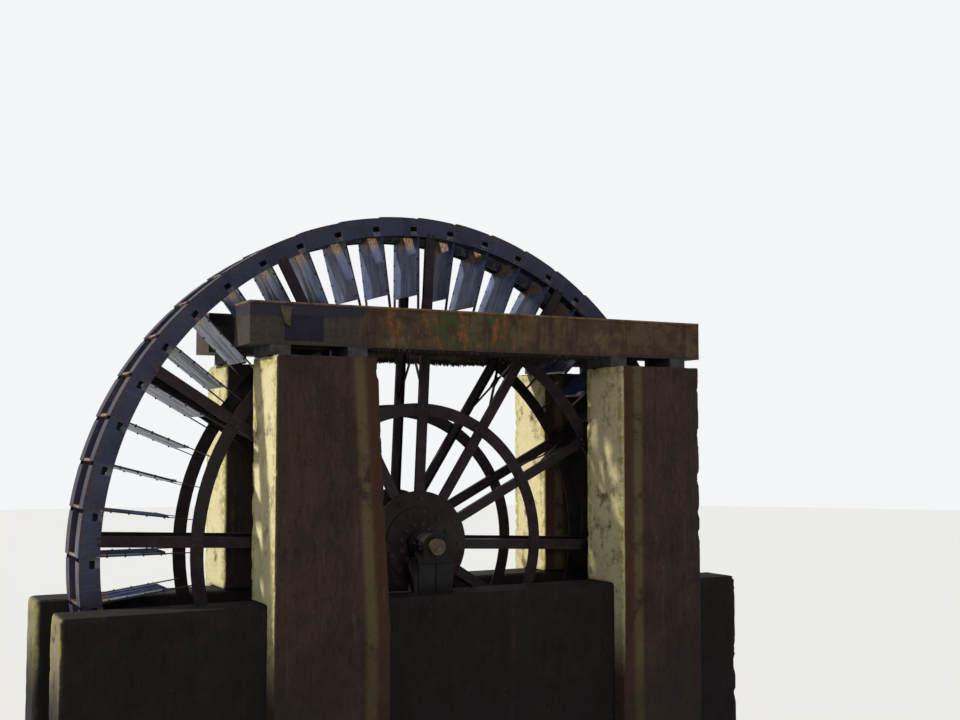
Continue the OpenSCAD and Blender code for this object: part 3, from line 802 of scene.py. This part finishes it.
def weather(mesh, low, high, seed, contact, inner_gap, slope=None, chip_depth=PIER_CHIP):
    """Press wear into a masonry mesh and paint its edges, inner edge, sunlit side and damp."""
    count = len(mesh.vertices)
    paint = {name: np.zeros(count, np.float32) for name in ("edge", "inner", "dry", "damp")}
    normals = [Vector(v.normal) for v in mesh.vertices]
    for i, vertex in enumerate(mesh.vertices):
        p = vertex.co
        n = normals[i]
        rim = near_edge(p, low, high, slope)
        sun_side = smooth_step(-n.x, 0.35, 0.75)
        under_top = smooth_step(p.z, high[2] - 0.25, high[2])
        paint["edge"][i] = 1 - smooth_step(rim, 0.02, 0.34)
        paint["inner"][i] = 1 - smooth_step(inner_gap(p), 0.03, 0.42)
        # The faces that look towards the sun, from a little below the walls' top upwards, are marked for
        # painted sunlight.
        paint["dry"][i] = sun_side * smooth_step(p.z, WALL_TOP - 1.2, WALL_TOP - 0.2)
        paint["damp"][i] = max(under_top * 0.35, 1 - smooth_step(p.z, 0.2, WALL_TOP + 0.3))
        vertex.co = p - n * wear_depth(p, rim, seed, chip_depth) * contact(p)
    for name, values in paint.items():
        layer = mesh.attributes.new(name, "FLOAT", "POINT")
        layer.data.foreach_set("value", values)
    for vertex in mesh.vertices:
        for axis in range(3):
            vertex.co[axis] = min(max(vertex.co[axis], low[axis]), high[axis])
    mesh.shade_smooth()
    return count


def pier_contact(point):
    """0 where a pier touches its wall or the bed, 1 away from there."""
    gap = 1.0
    if point.z < WALL_TOP + 0.02:
        gap = smooth_step(abs(abs(point.y) - WALL_Y), 0.0, CONTACT)
    if abs(point.y) < WALL_Y + 0.02:
        gap = min(gap, smooth_step(abs(point.z - WALL_TOP), 0.0, CONTACT))
    return min(gap, smooth_step(point.z, 0.0, CONTACT))


def wall_contact(point):
    """0 at the bed, little under the piers and bearing blocks, 1 elsewhere."""
    under_top = smooth_step(WALL_TOP - point.z, -0.001, 0.03) * 0.9 + 0.1
    return min(smooth_step(point.z, 0.0, CONTACT), under_top)


print("wear helpers ready")

# %% [markdown]
# ## Worn piers and walls
# The left piers grow narrower upwards on the wheel's side, so their inner edge, which is the stained
# and chipped one, is a slope. On the right ones it is upright. The front, which is seen close, gets
# the finer mesh.

# %% Piers and walls
MASONRY_VOXEL = 0.022
BATTER = 0.18
BATTER_FOOT = SHAFT_Z - 0.88
PIER_SEEDS = {
    "pier_front_left": 3.1, "pier_front_right": 8.7, "pier_back_left": 15.2, "pier_back_right": 21.9,
}
WALL_SEED = 31.0


def pier_slope(low, high):
    """The sloping inner edge of a left pier, as a function of height."""
    def at(z):
        share = min(max((z - BATTER_FOOT) / (high[2] - BATTER_FOOT), 0.0), 1.0)
        return high[0] - BATTER * share

    return at


def stand_in(node_name, mesh, finish):
    """Keep a worn mesh in place of its node."""
    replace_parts(keep_piece(f"{node_name}_masonry", mesh, finish, "structure"), node_name)


for node_name, seed in PIER_SEEDS.items():
    low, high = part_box(node_name)
    voxel = MASONRY_VOXEL if "front" in node_name else MASONRY_VOXEL * 1.5
    worn = even_mesh(frame["nodes"][node_name], voxel, 0.012)
    slope = pier_slope(low, high) if "left" in node_name else None

    def from_inner_edge(point):
        return slope(point.z) - point.x if slope else point.x - low[0]

    count = weather(worn, low, high, seed, pier_contact, from_inner_edge, slope)
    stand_in(node_name, worn, MASONRY)
    print(node_name, count, "points")
for side, way in SIDES.items():
    node_name = f"channel_wall_{side}"
    low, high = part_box(node_name)
    worn = even_mesh(frame["nodes"][node_name], MASONRY_VOXEL * (1.6 if way < 0 else 2.2), 0.02)
    count = weather(worn, low, high, WALL_SEED + way, wall_contact, lambda point: 1.0, chip_depth=WALL_CHIP)
    stand_in(node_name, worn, SHADED_DAMP_MASONRY)
    print(node_name, count, "points")

# %% [markdown]
# ## Two bucket rings
# Close up, the rim is two narrow bucket rings with an open middle. The frame has one ring over the
# whole width, so plates drawn here stand in for the frame's. Each kind of plate is a grid of points
# in one bucket, set round the wheel forty-eight times. A grid can leave out a cell, which is how a
# side plate gets its outlet, and its columns follow the curve of the cover.

# %% Helpers for sheets
def add_sheet(points, faces, place, columns, rows_at, skip=()):
    """Add a flat sheet: place turns a column's value, a row's value and a side into a point."""
    first = len(points)
    rows = [rows_at(u) for u in columns]
    deep = len(rows[0])
    layer = len(columns) * deep
    for side in (0, 1):
        for u, row in zip(columns, rows):
            points += [tuple(place(u, v, side)) for v in row]
    cells = {(c, r) for c in range(len(columns) - 1) for r in range(deep - 1)} - set(skip)

    def at(cell_point, side):
        return first + side * layer + cell_point[0] * deep + cell_point[1]

    for c, r in sorted(cells):
        loop = [(c, r), (c, r + 1), (c + 1, r + 1), (c + 1, r)]
        beside = [(c - 1, r), (c, r + 1), (c + 1, r), (c, r - 1)]
        faces.append(tuple(at(corner, 0) for corner in loop))
        faces.append(tuple(at(corner, 1) for corner in reversed(loop)))
        for k in range(4):
            if beside[k] not in cells:
                start, end = loop[k], loop[(k + 1) % 4]
                faces.append((at(end, 0), at(start, 0), at(start, 1), at(end, 1)))


print("sheets can be drawn")

# %% Plates set round the wheel
def closed_mesh(name, points, faces):
    """One mesh from lists of points and faces, with every face turned outwards."""
    mesh = bpy.data.meshes.new(name)
    mesh.from_pydata([tuple(p) for p in points], [], faces)
    form = bmesh.new()
    form.from_mesh(mesh)
    bmesh.ops.recalc_face_normals(form, faces=form.faces)
    form.to_mesh(mesh)
    form.free()
    return mesh


def sheet_piece(name, points, faces, finish, stands_for=()):
    """A piece of sheets that rides on the wheel, in place of the named nodes."""
    piece = keep_piece(name, closed_mesh(name, points, faces), finish, "wheel")
    for stood_in in stands_for:
        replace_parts(piece, stood_in)
    print(name, len(faces), "faces")


def ring_plates(name, columns, rows_at, spans, stands_for=(), skip=()):
    """The same plate in every bucket, between the given distances along the shaft."""
    points = []
    faces = []
    for i in range(BUCKETS):
        for span in spans:
            def place(a, r, side):
                return on_wheel(i * PITCH + a, r, span[side])

            add_sheet(points, faces, place, columns, rows_at, skip)
    sheet_piece(name, points, faces, RIM_STEEL, stands_for)


print("plates can be set round the wheel")

# %% [markdown]
# ## The plates of one bucket
# A bucket's cover starts proud of the one before and falls by one step along its length. It ends
# short of the next bucket, which leaves the slot that the bucket fills by. The side plates follow the
# cover and have an outlet near the bucket's end. Angles are in degrees from the bucket's divider.

# %% Plates of the bucket rings
SHEET = 0.006
SIDE_T = RIM_Y - PLATE_IN_Y
RIM_IN = 0.942 * WHEEL_R
SOLE_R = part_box("bucket_soles")[1][2] - SHAFT_Z - SHEET
COVER_STEP = 0.012
COVER_BENDS = 8
INLET_W = 0.050
BUTT = math.degrees(0.001 / WHEEL_R)
OUTLET_LOW = SOLE_R + SHEET + 0.009
OUTLET_HIGH = OUTLET_LOW + 0.060
OUTLET_START = PITCH - math.degrees(0.120 / OUTLET_LOW)
OUTLET_END = PITCH - math.degrees(0.032 / OUTLET_LOW)


def cover_low(a, lift=0.0):
    """Radius of a cover's underside at an angle from its proud end."""
    return WHEEL_R - SHEET + lift - COVER_STEP * a / PITCH


def on_both_sides(near, far):
    """The spans between two distances from the middle plane, front and back."""
    return [(way * near, way * far) for way in SIDES.values()]


bends = [PITCH * k / COVER_BENDS for k in range(1, COVER_BENDS)]
plate_columns = sorted([BUTT, PITCH - BUTT, OUTLET_START, OUTLET_END] + bends)
outlet_cells = [(c, 1) for c, a in enumerate(plate_columns) if OUTLET_START <= a < OUTLET_END]
for side, way in SIDES.items():
    ring_plates(
        f"rim_sides_{side}", plate_columns, lambda a: [RIM_IN, OUTLET_LOW, OUTLET_HIGH, cover_low(a)],
        [(way * PLATE_IN_Y, way * RIM_Y)], [f"rim_plates_{side}"], outlet_cells)
ring_plates(
    "rim_inner_sides", plate_columns, lambda a: [RIM_IN, cover_low(a)],
    on_both_sides(RING_IN_Y, RING_IN_Y + SIDE_T))
inside_ring = on_both_sides(RING_IN_Y + SIDE_T, PLATE_IN_Y)
ring_plates(
    "ring_soles", plate_columns, lambda a: [SOLE_R, SOLE_R + SHEET], inside_ring, ["bucket_soles"])
half_sheet = math.degrees(SHEET / 2 / WHEEL_R)
ring_plates(
    "ring_dividers", [-half_sheet, half_sheet], lambda a: [SOLE_R + SHEET, WHEEL_R - SHEET],
    inside_ring, ["bucket_dividers"])
cover_end = PITCH - math.degrees(INLET_W / WHEEL_R)
cover_columns = [cover_end * k / COVER_BENDS for k in range(COVER_BENDS + 1)]
ring_plates(
    "ring_covers", cover_columns, lambda a: [cover_low(a), cover_low(a, SHEET)],
    on_both_sides(RING_IN_Y, RIM_Y), ["bucket_covers"])

# %% [markdown]
# ## Stepped blades on edge-on flats
# A blade is as wide as the wheel below the rings and narrow between them, where it runs out almost to
# the wheel's radius. It is bolted to two flats that stand edge on behind it. The sheet is pressed out
# of true by a few millimetres, since blades that all lie dead flat would shine alike.

# %% Blades and their flats
BLADE_IN = 3.1283
BLADE_OUT = 0.998 * WHEEL_R
BLADE_SIDE_Y = PLATE_IN_Y - 0.010
BLADE_HALF = 0.003
BLADE_BULGE = 0.004
TONGUE_Y = RING_IN_Y - 0.002
SHOULDER_R = RIM_IN - 0.002
ARM_FACE = 0.011
ARM_IN_Y = PLATE_IN_Y - 0.060
ARM_IN_R = 2.788
ARM_OUT_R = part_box("blade_arms_back")[1][2] - SHAFT_Z


def beside_blade(i, y, radius, off):
    """A point off a blade's middle plane, towards the direction of turning."""
    a = math.radians(i * PITCH)
    return on_wheel(i * PITCH, radius, y) + Vector((math.cos(a), 0, -math.sin(a))) * off


half_ys = [0.095, TONGUE_Y, 0.285, BLADE_SIDE_Y]
blade_ys = [-y for y in reversed(half_ys)] + [0] + half_ys
blade_rs = [BLADE_IN, 3.31, 3.49, 3.67, SHOULDER_R, 3.97, BLADE_OUT]
beside_tongue = [
    (c, r) for c in range(len(blade_ys) - 1) for r in range(len(blade_rs) - 1)
    if min(abs(blade_ys[c]), abs(blade_ys[c + 1])) >= TONGUE_Y and blade_rs[r] >= SHOULDER_R
]
points = []
faces = []
for i in range(BUCKETS):
    def pressed(y, r, side):
        free = smooth_step(ARM_IN_Y - abs(y), 0.0, 0.12)
        bulge = BLADE_BULGE * noise.noise(Vector((y * 3.1, r * 2.2, i * 1.7))) * free
        return beside_blade(i, y, r, (side - 0.5) * 2 * BLADE_HALF + bulge)

    add_sheet(points, faces, pressed, blade_ys, lambda y: blade_rs, beside_tongue)
sheet_piece("stepped_blades", points, faces, BLADE_STEEL, ["blades"])
for side, way in SIDES.items():
    points = []
    faces = []
    for i in range(BUCKETS):
        def on_flat(y, r, face):
            return beside_blade(i, y, r, (BLADE_HALF, ARM_FACE)[face])

        flat_ys = [way * ARM_IN_Y, way * PLATE_IN_Y]
        add_sheet(points, faces, on_flat, flat_ys, lambda y: [ARM_IN_R, ARM_OUT_R])
    sheet_piece(f"blade_flats_{side}", points, faces, WHEEL_IRON, [f"blade_arms_{side}"])

# %% [markdown]
# ## Bolts and rivets
# Hundreds of bolts and rivets hold the iron. One bolt is drawn once, as lists of points and faces,
# and numpy sets a turned copy at every place, which is quicker than one object each. The heads are
# real geometry, so they catch the light along the rings.

# %% Turned forms
def ring_points(count, radius, height):
    """Points round a circle at a height."""
    step = 2 * math.pi / count
    return [(radius * math.cos(i * step), radius * math.sin(i * step), height) for i in range(count)]


def lathe_faces(rings, count, closed_top):
    """Faces between rings of equal count, laid one after the other."""
    faces = []
    for k in range(rings - 1):
        for i in range(count):
            j = (i + 1) % count
            faces.append((k * count + i, k * count + j, (k + 1) * count + j, (k + 1) * count + i))
    if closed_top:
        faces.append(tuple(range((rings - 1) * count, rings * count)))
    return faces


def turned_form(rings, count, size=1.0, closed_top=True):
    """A pattern turned from (radius, height) pairs, both in parts of the size."""
    points = []
    for radius, height in rings:
        points += ring_points(count, size * radius, size * height)
    return points, lathe_faces(len(rings), count, closed_top)


def hex_bolt(size):
    """A washer, a hexagon head and the bolt's end; size is half the width over the head."""
    washer = turned_form(((1.55, 0.0), (1.5, 0.26)), 14, size)
    head = turned_form(((1.12, 0.26), (1.12, 0.95), (0.92, 1.1)), 6, size)
    stub = turned_form(((0.55, 1.05), (0.5, 1.45)), 8, size)
    points = []
    faces = []
    for part_points, part_faces in (washer, head, stub):
        faces += [tuple(i + len(points) for i in face) for face in part_faces]
        points += part_points
    return points, faces


def dome_rivet(size):
    """A low round head."""
    return turned_form(((1.0, 0.0), (0.86, 0.38), (0.45, 0.62)), 10, size)


print("a bolt has", len(hex_bolt(1)[1]), "faces")

# %% Copies of a pattern
def set_copies(name, pattern, places, finish, body):
    """One mesh with a copy of the pattern at each (point, outward direction, turn)."""
    points, faces = pattern
    points = np.array(points)
    all_points = []
    all_faces = []
    for k, (where, out, turn) in enumerate(places):
        basis = Vector(out).to_track_quat("Z", "Y").to_matrix() @ Matrix.Rotation(turn, 3, "Z")
        all_points.append(points @ np.array(basis).T + np.array(where))
        all_faces += [tuple(i + k * len(points) for i in face) for face in faces]
    mesh = bpy.data.meshes.new(name)
    mesh.from_pydata(np.concatenate(all_points).tolist(), [], all_faces)
    mesh.update()
    print(name, len(places), "pieces")
    return keep_piece(name, mesh, finish, body)


print("patterns can be copied")

# %% [markdown]
# ## Where the wheel is bolted
# The photograph shows three circles of bolts on the hub, splice plates with bolts where the middle
# ring's bars meet, and bolts where the spokes cross the crown ring and the rim. The rim's side plates
# are riveted along their edges.

# %% Bolts and rivets on the wheel
BOLT = 0.021
SMALL_BOLT = 0.014
RIVET = 0.011
HUB_CIRCLES = ((0.0, 0.555, DISC_Y), (6.5, 0.395, BOSS_Y), (8.5, 0.245, BOSS_Y))
MID_R = 1.673
SPLICE_ACROSS = (-0.085, -0.032, 0.032, 0.085)
SPLICE_LIFTS = (-0.036, 0.036)
CROWN_R = 2.788
CROWN_ACROSS = 0.034
CROWN_LIFT = 0.045
RIM_BOLT_R = 3.884
RIM_ACROSS = 0.036
EDGE_RIVET_R = 3.889
EDGE_RIVETS = 6
SEAM_RIVET_RS = (3.95, 4.01)
SPOKE_ANGLES = [SPOKE_TURN + i * 360 / SPOKES for i in range(SPOKES)]
turns = np.random.default_rng(7)


def spin():
    """The next head's own turn."""
    return float(turns.uniform(0, 1.0))


def across_spoke(angle, across, radius, y):
    """A point beside a spoke's middle line, at a radius."""
    return on_wheel(angle + math.degrees(across / radius), radius, y)


for side, way in SIDES.items():
    out = (0, way, 0)
    places = []
    for angle in SPOKE_ANGLES:
        for ahead, radius, y in HUB_CIRCLES:
            places.append((on_wheel(angle + ahead, radius, way * y), out, spin()))
    set_copies(f"hub_bolts_{side}", hex_bolt(BOLT), places, BOLT_IRON, "wheel")
    places = []
    for angle in SPOKE_ANGLES:
        for across in SPLICE_ACROSS:
            for lift in SPLICE_LIFTS:
                places.append((across_spoke(angle, across, MID_R + lift, way * SPLICE_Y), out, spin()))
    set_copies(f"splice_bolts_{side}", hex_bolt(SMALL_BOLT), places, BOLT_IRON, "wheel")
    places = []
    for angle in SPOKE_ANGLES:
        for radius in (CROWN_R - CROWN_LIFT, CROWN_R + CROWN_LIFT):
            for across in (-CROWN_ACROSS, CROWN_ACROSS):
                places.append((across_spoke(angle, across, radius, way * RING_Y), out, spin()))
        for across in (-RIM_ACROSS, RIM_ACROSS):
            places.append((across_spoke(angle, across, RIM_BOLT_R, way * RIM_Y), out, spin()))
    set_copies(f"spoke_bolts_{side}", hex_bolt(SMALL_BOLT), places, BOLT_IRON, "wheel")
    places = []
    for i in range(BUCKETS):
        for k in range(EDGE_RIVETS):
            share = 0.09 + k * 0.164
            angle = (i + share) * PITCH
            under_cover = cover_low(share * PITCH) - 0.014
            places.append((on_wheel(angle, EDGE_RIVET_R, way * RIM_Y), out, 0.0))
            places.append((on_wheel(angle, under_cover, way * RIM_Y), out, 0.0))
        for radius in SEAM_RIVET_RS:
            places.append((on_wheel(i * PITCH + 0.28, radius, way * RIM_Y), out, 0.0))
    set_copies(f"rim_rivets_{side}", dome_rivet(RIVET), places, RIM_STEEL, "wheel")

# %% [markdown]
# ## Stiffeners and bolts of the blades
# A sheet as wide as these blades needs folded edges and a rib. From the photograph's side they
# show as the thin bright lines along a blade. The bars are drawn as flat outlines joined into one
# mesh, and the bolts that hold the blade to its two flats are in another.

# %% Flat bars
def flat_outline(width, thick):
    """The outline of a flat bar, lying on one of its broad faces."""
    return [(-width / 2, 0), (width / 2, 0), (width / 2, thick), (-width / 2, thick)]


def bar_faces(count, shift):
    """The end faces and long faces of a bar with an outline of so many points."""
    faces = [tuple(shift + i for i in range(count))[::-1], tuple(shift + count + i for i in range(count))]
    for i in range(count):
        j = (i + 1) % count
        faces.append((shift + i, shift + j, shift + count + j, shift + count + i))
    return faces


def joined_bars(name, bars, finish, body):
    """One mesh from bars given as (outline, start, end, side direction, depth direction)."""
    points = []
    faces = []
    for outline, start, end, side_dir, depth_dir in bars:
        faces += bar_faces(len(outline), len(points))
        points += [at + side_dir * u + depth_dir * v for at in (start, end) for u, v in outline]
    print(name, len(bars), "bars")
    return keep_piece(name, closed_mesh(name, points, faces), finish, body)


print("bars can be joined")

# %% Folds and bolts of the blades
FOLD = 0.026
FOLD_T = 0.004
RIB_Y = 0.10
BLADE_BOLT = 0.009
BLADE_BOLT_RS = (3.18, 3.38, 3.58, 3.78)
BLADE_BOLT_Y = ARM_IN_Y + 0.025
fold_bars = []
blade_bolts = []
across = Vector((0, 1, 0))
for i in range(BUCKETS):
    a = math.radians(i * PITCH)
    along_rim = Vector((math.cos(a), 0, -math.sin(a)))
    outward = Vector((math.sin(a), 0, math.cos(a)))
    back_face = along_rim * (BLADE_HALF + FOLD / 2)
    for radius, half in ((BLADE_IN, ARM_IN_Y - 0.004), (BLADE_OUT - FOLD_T, RING_IN_Y - 0.006)):
        start = on_wheel(i * PITCH, radius, -half) + back_face
        end = on_wheel(i * PITCH, radius, half) + back_face
        fold_bars.append((flat_outline(FOLD, FOLD_T), start, end, along_rim, outward))
    for y in (-RIB_Y, RIB_Y):
        start = on_wheel(i * PITCH, BLADE_IN + 0.012, y) + back_face
        end = on_wheel(i * PITCH, BLADE_OUT - 0.012, y) + back_face
        fold_bars.append((flat_outline(FOLD, FOLD_T), start, end, along_rim, across))
    for way in SIDES.values():
        for radius in BLADE_BOLT_RS:
            middle = on_wheel(i * PITCH, radius, way * BLADE_BOLT_Y)
            blade_bolts.append((middle - along_rim * BLADE_HALF, -along_rim, spin()))
            blade_bolts.append((middle + along_rim * ARM_FACE, along_rim, spin()))
joined_bars("blade_folds", fold_bars, BLADE_STEEL, "wheel")
set_copies("blade_bolts", hex_bolt(BLADE_BOLT), blade_bolts, BOLT_IRON, "wheel")

# %% [markdown]
# ## The launders' seams and trim
# The launders are made of sheets about a metre and a quarter long, joined by straps with a double
# row of rivets, and stiffened by a riveted band along the top and the bottom edge. Straps and bands
# are plain flat bars, so each launder's are joined into one mesh, and its rivets into another.

# %% Straps and rivets of the launders
L_LOW = LAUNDER[0][2]
L_X0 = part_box("launder_outer_side_front")[0][0]
L_X1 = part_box("launder_outer_side_front")[1][0]
OUTER_Y = abs(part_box("launder_outer_side_front")[0][1])
INNER_Y = abs(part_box("launder_inner_side_front")[1][1])
STRAP_X = [LAP_X, 0.22, 1.46, 2.70]
STRAP_W = 0.085
STRAP_RIVETS = 9
STRAP_RIVET_STEP = 0.0525
PLATE_T = 0.005
BANDS = ((L_LOW, L_LOW + 0.042), (LAUNDER_TOP - 0.036, LAUNDER_TOP - 0.001))
BAND_RIVET_STEP = 0.095
LAUNDER_RIVET = 0.009
ALONG = Vector((1, 0, 0))
UP = Vector((0, 0, 1))

band_ends = [L_X0] + [x + s * STRAP_W / 2 for x in STRAP_X for s in (-1, 1)] + [L_X1]
for side, way in SIDES.items():
    trim = []
    rivets = []
    outward = Vector((0, way, 0))
    face_y = way * OUTER_Y
    head_y = face_y + way * PLATE_T
    for x in STRAP_X:
        start = Vector((x, face_y, L_LOW + 0.006))
        end = Vector((x, face_y, LAUNDER_TOP - 0.006))
        trim.append((flat_outline(STRAP_W, PLATE_T), start, end, ALONG, outward))
        for row in range(STRAP_RIVETS):
            z = L_LOW + 0.035 + row * STRAP_RIVET_STEP
            for shift in (-0.024, 0.024):
                rivets.append((Vector((x + shift, head_y, z)), outward, 0.0))
    for z0, z1 in BANDS:
        middle = (z0 + z1) / 2
        for x0, x1 in zip(band_ends[::2], band_ends[1::2]):
            start = Vector((x0 + 0.002, face_y, middle))
            end = Vector((x1 - 0.002, face_y, middle))
            trim.append((flat_outline(z1 - z0, PLATE_T), start, end, UP, outward))
            count = int((x1 - x0) / BAND_RIVET_STEP)
            for k in range(count):
                x = x0 + (x1 - x0) * (k + 0.5) / count
                rivets.append((Vector((x, head_y, middle)), outward, 0.0))
    joined_bars(f"launder_straps_{side}", trim, LAUNDER_RUST, "structure")
    head = dome_rivet(LAUNDER_RIVET)
    set_copies(f"launder_rivets_{side}", head, rivets, LAUNDER_RUST, "structure")

# %% [markdown]
# ## A patch and a bent scrap
# Two thin sheets sit on the front launder's left end. Real thin sheet never lies flat, so each is a
# grid of faces between four corners, pushed out by a small formula, and gets its thickness from a
# solidify modifier.

# %% Patch and scrap
FRONT_Y = -OUTER_Y - PLATE_T
SCRAP_GRID = 14
PATCH = ((-2.01, 0.05), (-1.55, 0.05), (-1.55, 0.34), (-2.01, 0.34))
SCRAP = ((-2.03, 0.24), (-1.97, 0.20), (-1.93, 0.43), (-2.07, 0.45))


def sheet_scrap(name, corners, bend, thick, finish):
    """A thin bent plate: four corners as (x, height), pushed out by a function of its two shares."""
    a, b, c, d = [Vector((x, FRONT_Y, L_LOW + up)) for x, up in corners]
    across = SCRAP_GRID + 1
    points = []
    for i in range(across):
        for j in range(across):
            u, v = i / SCRAP_GRID, j / SCRAP_GRID
            points.append(a.lerp(b, u).lerp(d.lerp(c, u), v) + Vector((0, -bend(u, v), 0)))
    faces = []
    for i in range(SCRAP_GRID):
        for j in range(SCRAP_GRID):
            k = i * across + j
            faces.append((k, k + across, k + across + 1, k + 1))
    piece = keep_piece(name, closed_mesh(name, points, faces), finish, "structure")
    solid = piece.modifiers.new("thickness", "SOLIDIFY")
    solid.thickness = thick
    print(name, len(faces), "faces")


sheet_scrap("launder_patch", PATCH, lambda u, v: 0.003 + 0.006 * u * v, 0.004, PATCH_IRON)
sheet_scrap(
    "launder_scrap", SCRAP, lambda u, v: 0.004 + 0.055 * (1 - v) ** 2 + 0.02 * u * (1 - v), 0.003,
    SHAFT_STEEL)

# %% [markdown]
# ## Growth under the launders
# Damp feeds a fringe of moss and lime that hangs from the bottom edges in ragged points. It could be
# hair, but wet growth clumps, so it is a strip of many short tapering lumps of uneven length, all in
# one mesh. It stays off the parts of the bottom that rest on the bearers.

# %% Moss fringe
GAP_X0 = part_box("pier_front_left")[1][0] - 0.16
GAP_X1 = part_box("pier_front_right")[0][0]
FRINGE_YS = (OUTER_Y - 0.02, INNER_Y + 0.02, (OUTER_Y + INNER_Y) / 2, OUTER_Y - 0.14)
CLUMP_SIDES = 6
CLUMP_RINGS = ((0.0, 1.0), (0.35, 0.85), (0.75, 0.45))
growth_dice = np.random.default_rng(11)


def drawn(low, high):
    """The next number from the growth's own dice."""
    return float(growth_dice.uniform(low, high))


def clump(form, where, length, width):
    """One hanging lump: three shrinking rings and a tip."""
    rings = []
    for share, size in CLUMP_RINGS:
        ring = []
        for k in range(CLUMP_SIDES):
            a = 2 * math.pi * k / CLUMP_SIDES + share
            wobble = 1 + 0.25 * math.sin(5.1 * k + 40 * where.x)
            off = Vector((
                math.cos(a) * width * size * wobble,
                math.sin(a) * width * size * 0.8,
                -length * share,
            ))
            ring.append(form.verts.new(where + off))
        rings.append(ring)
    tip = form.verts.new(where + Vector((0, 0, -length)))
    form.faces.new(rings[0])
    for k in range(CLUMP_SIDES):
        j = (k + 1) % CLUMP_SIDES
        for upper, lower in zip(rings, rings[1:]):
            form.faces.new((upper[k], lower[k], lower[j], upper[j]))
        form.faces.new((rings[-1][k], tip, rings[-1][j]))


for side, way in SIDES.items():
    form = bmesh.new()
    for edge_y in FRINGE_YS:
        x = GAP_X0 + 0.02
        while x < GAP_X1 - 0.03:
            body = 0.5 + 0.5 * noise.noise(Vector((x * 2.1, edge_y * 9, way)))
            length = 0.018 + 0.075 * body * drawn(0.35, 1.0)
            width = drawn(0.010, 0.024)
            sway = drawn(-0.012, 0.012)
            clump(form, Vector((x, way * (edge_y + sway), L_LOW + 0.001)), length, width)
            x += drawn(0.012, 0.034)
    bmesh.ops.recalc_face_normals(form, faces=form.faces)
    mesh = bpy.data.meshes.new(f"launder_growth_{side}")
    form.to_mesh(mesh)
    print("growth", side, len(form.faces), "faces")
    form.free()
    mesh.shade_smooth()
    keep_piece(f"launder_growth_{side}", mesh, CRUST, "structure")

# %% [markdown]
# ## Bearings and shaft ends
# A plain bearing has a split body: a cap is bolted down on the foot. The split shows as a thin flange
# on each side with two bolts, and the foot has its own two. The shaft's end shows a turned centre,
# so a shallow dished plate stands in for it. Cup, dished plate and collar are turned from short lists
# of radii and heights in metres.

# %% Bearing trim
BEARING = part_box("bearing_front")
BEARING_TOP = BEARING[1][2]
BEARING_R = BEARING_TOP - SHAFT_Z
BEARING_NEAR = abs(BEARING[1][1])
BEARING_FAR = abs(BEARING[0][1])
BEARING_MID = (BEARING_NEAR + BEARING_FAR) / 2
FOOT_TOP = BEARING[0][2] + 0.055
FOOT_BOLT_X = 0.198
FLANGE_W = 0.056
FLANGE_T = 0.026
BEARING_BOLT = 0.017
SHAFT_END = abs(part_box("shaft")[0][1])
CUP = ((0.020, -0.004), (0.020, 0.014), (0.030, 0.016), (0.032, 0.050), (0.026, 0.058))
DISHED_END = ((0.098, 0.0), (0.095, 0.004), (0.072, 0.004), (0.068, 0.009), (0.030, 0.009), (0.012, 0.001))
COLLAR = ((0.1005, 0.0), (0.128, 0.0), (0.130, 0.003), (0.130, 0.027), (0.128, 0.030), (0.1005, 0.030))


def set_one(name, pattern, where, out, finish, body):
    """A single copy of a pattern."""
    set_copies(name, pattern, [(Vector(where), out, 0.0)], finish, body)


for side, way in SIDES.items():
    flanges = []
    bolts = []
    for hand in (-1, 1):
        for z in (SHAFT_Z + 0.004, SHAFT_Z - 0.030):
            start = Vector((hand * (BEARING_R + 0.022), way * (BEARING_NEAR + 0.02), z))
            end = Vector((hand * (BEARING_R + 0.022), way * (BEARING_FAR - 0.02), z))
            flanges.append((flat_outline(FLANGE_W, FLANGE_T), start, end, ALONG, UP))
        for y in (BEARING_NEAR + 0.06, BEARING_FAR - 0.06):
            bolts.append((Vector((hand * (BEARING_R + 0.026), way * y, SHAFT_Z + 0.030)), UP, spin()))
            bolts.append((Vector((hand * FOOT_BOLT_X, way * y, FOOT_TOP)), UP, spin()))
    joined_bars(f"bearing_flanges_{side}", flanges, SHADED_BEARING_IRON, "structure")
    bolt = hex_bolt(BEARING_BOLT)
    set_copies(f"bearing_bolts_{side}", bolt, bolts, BOLT_IRON, "structure")
    out = (0, way, 0)
    set_one(
        f"grease_cup_{side}", turned_form(CUP, 16), (0, way * BEARING_MID, BEARING_TOP), UP,
        SHADED_BEARING_IRON, "structure")
    set_one(
        f"shaft_end_{side}", turned_form(DISHED_END, 40), (0, way * SHAFT_END, SHAFT_Z), out,
        SHAFT_STEEL, "wheel")
    set_one(
        f"shaft_collar_{side}", turned_form(COLLAR, 40, closed_top=False),
        (0, way * (BEARING_NEAR - 0.045), SHAFT_Z), out, HUB_IRON, "wheel")
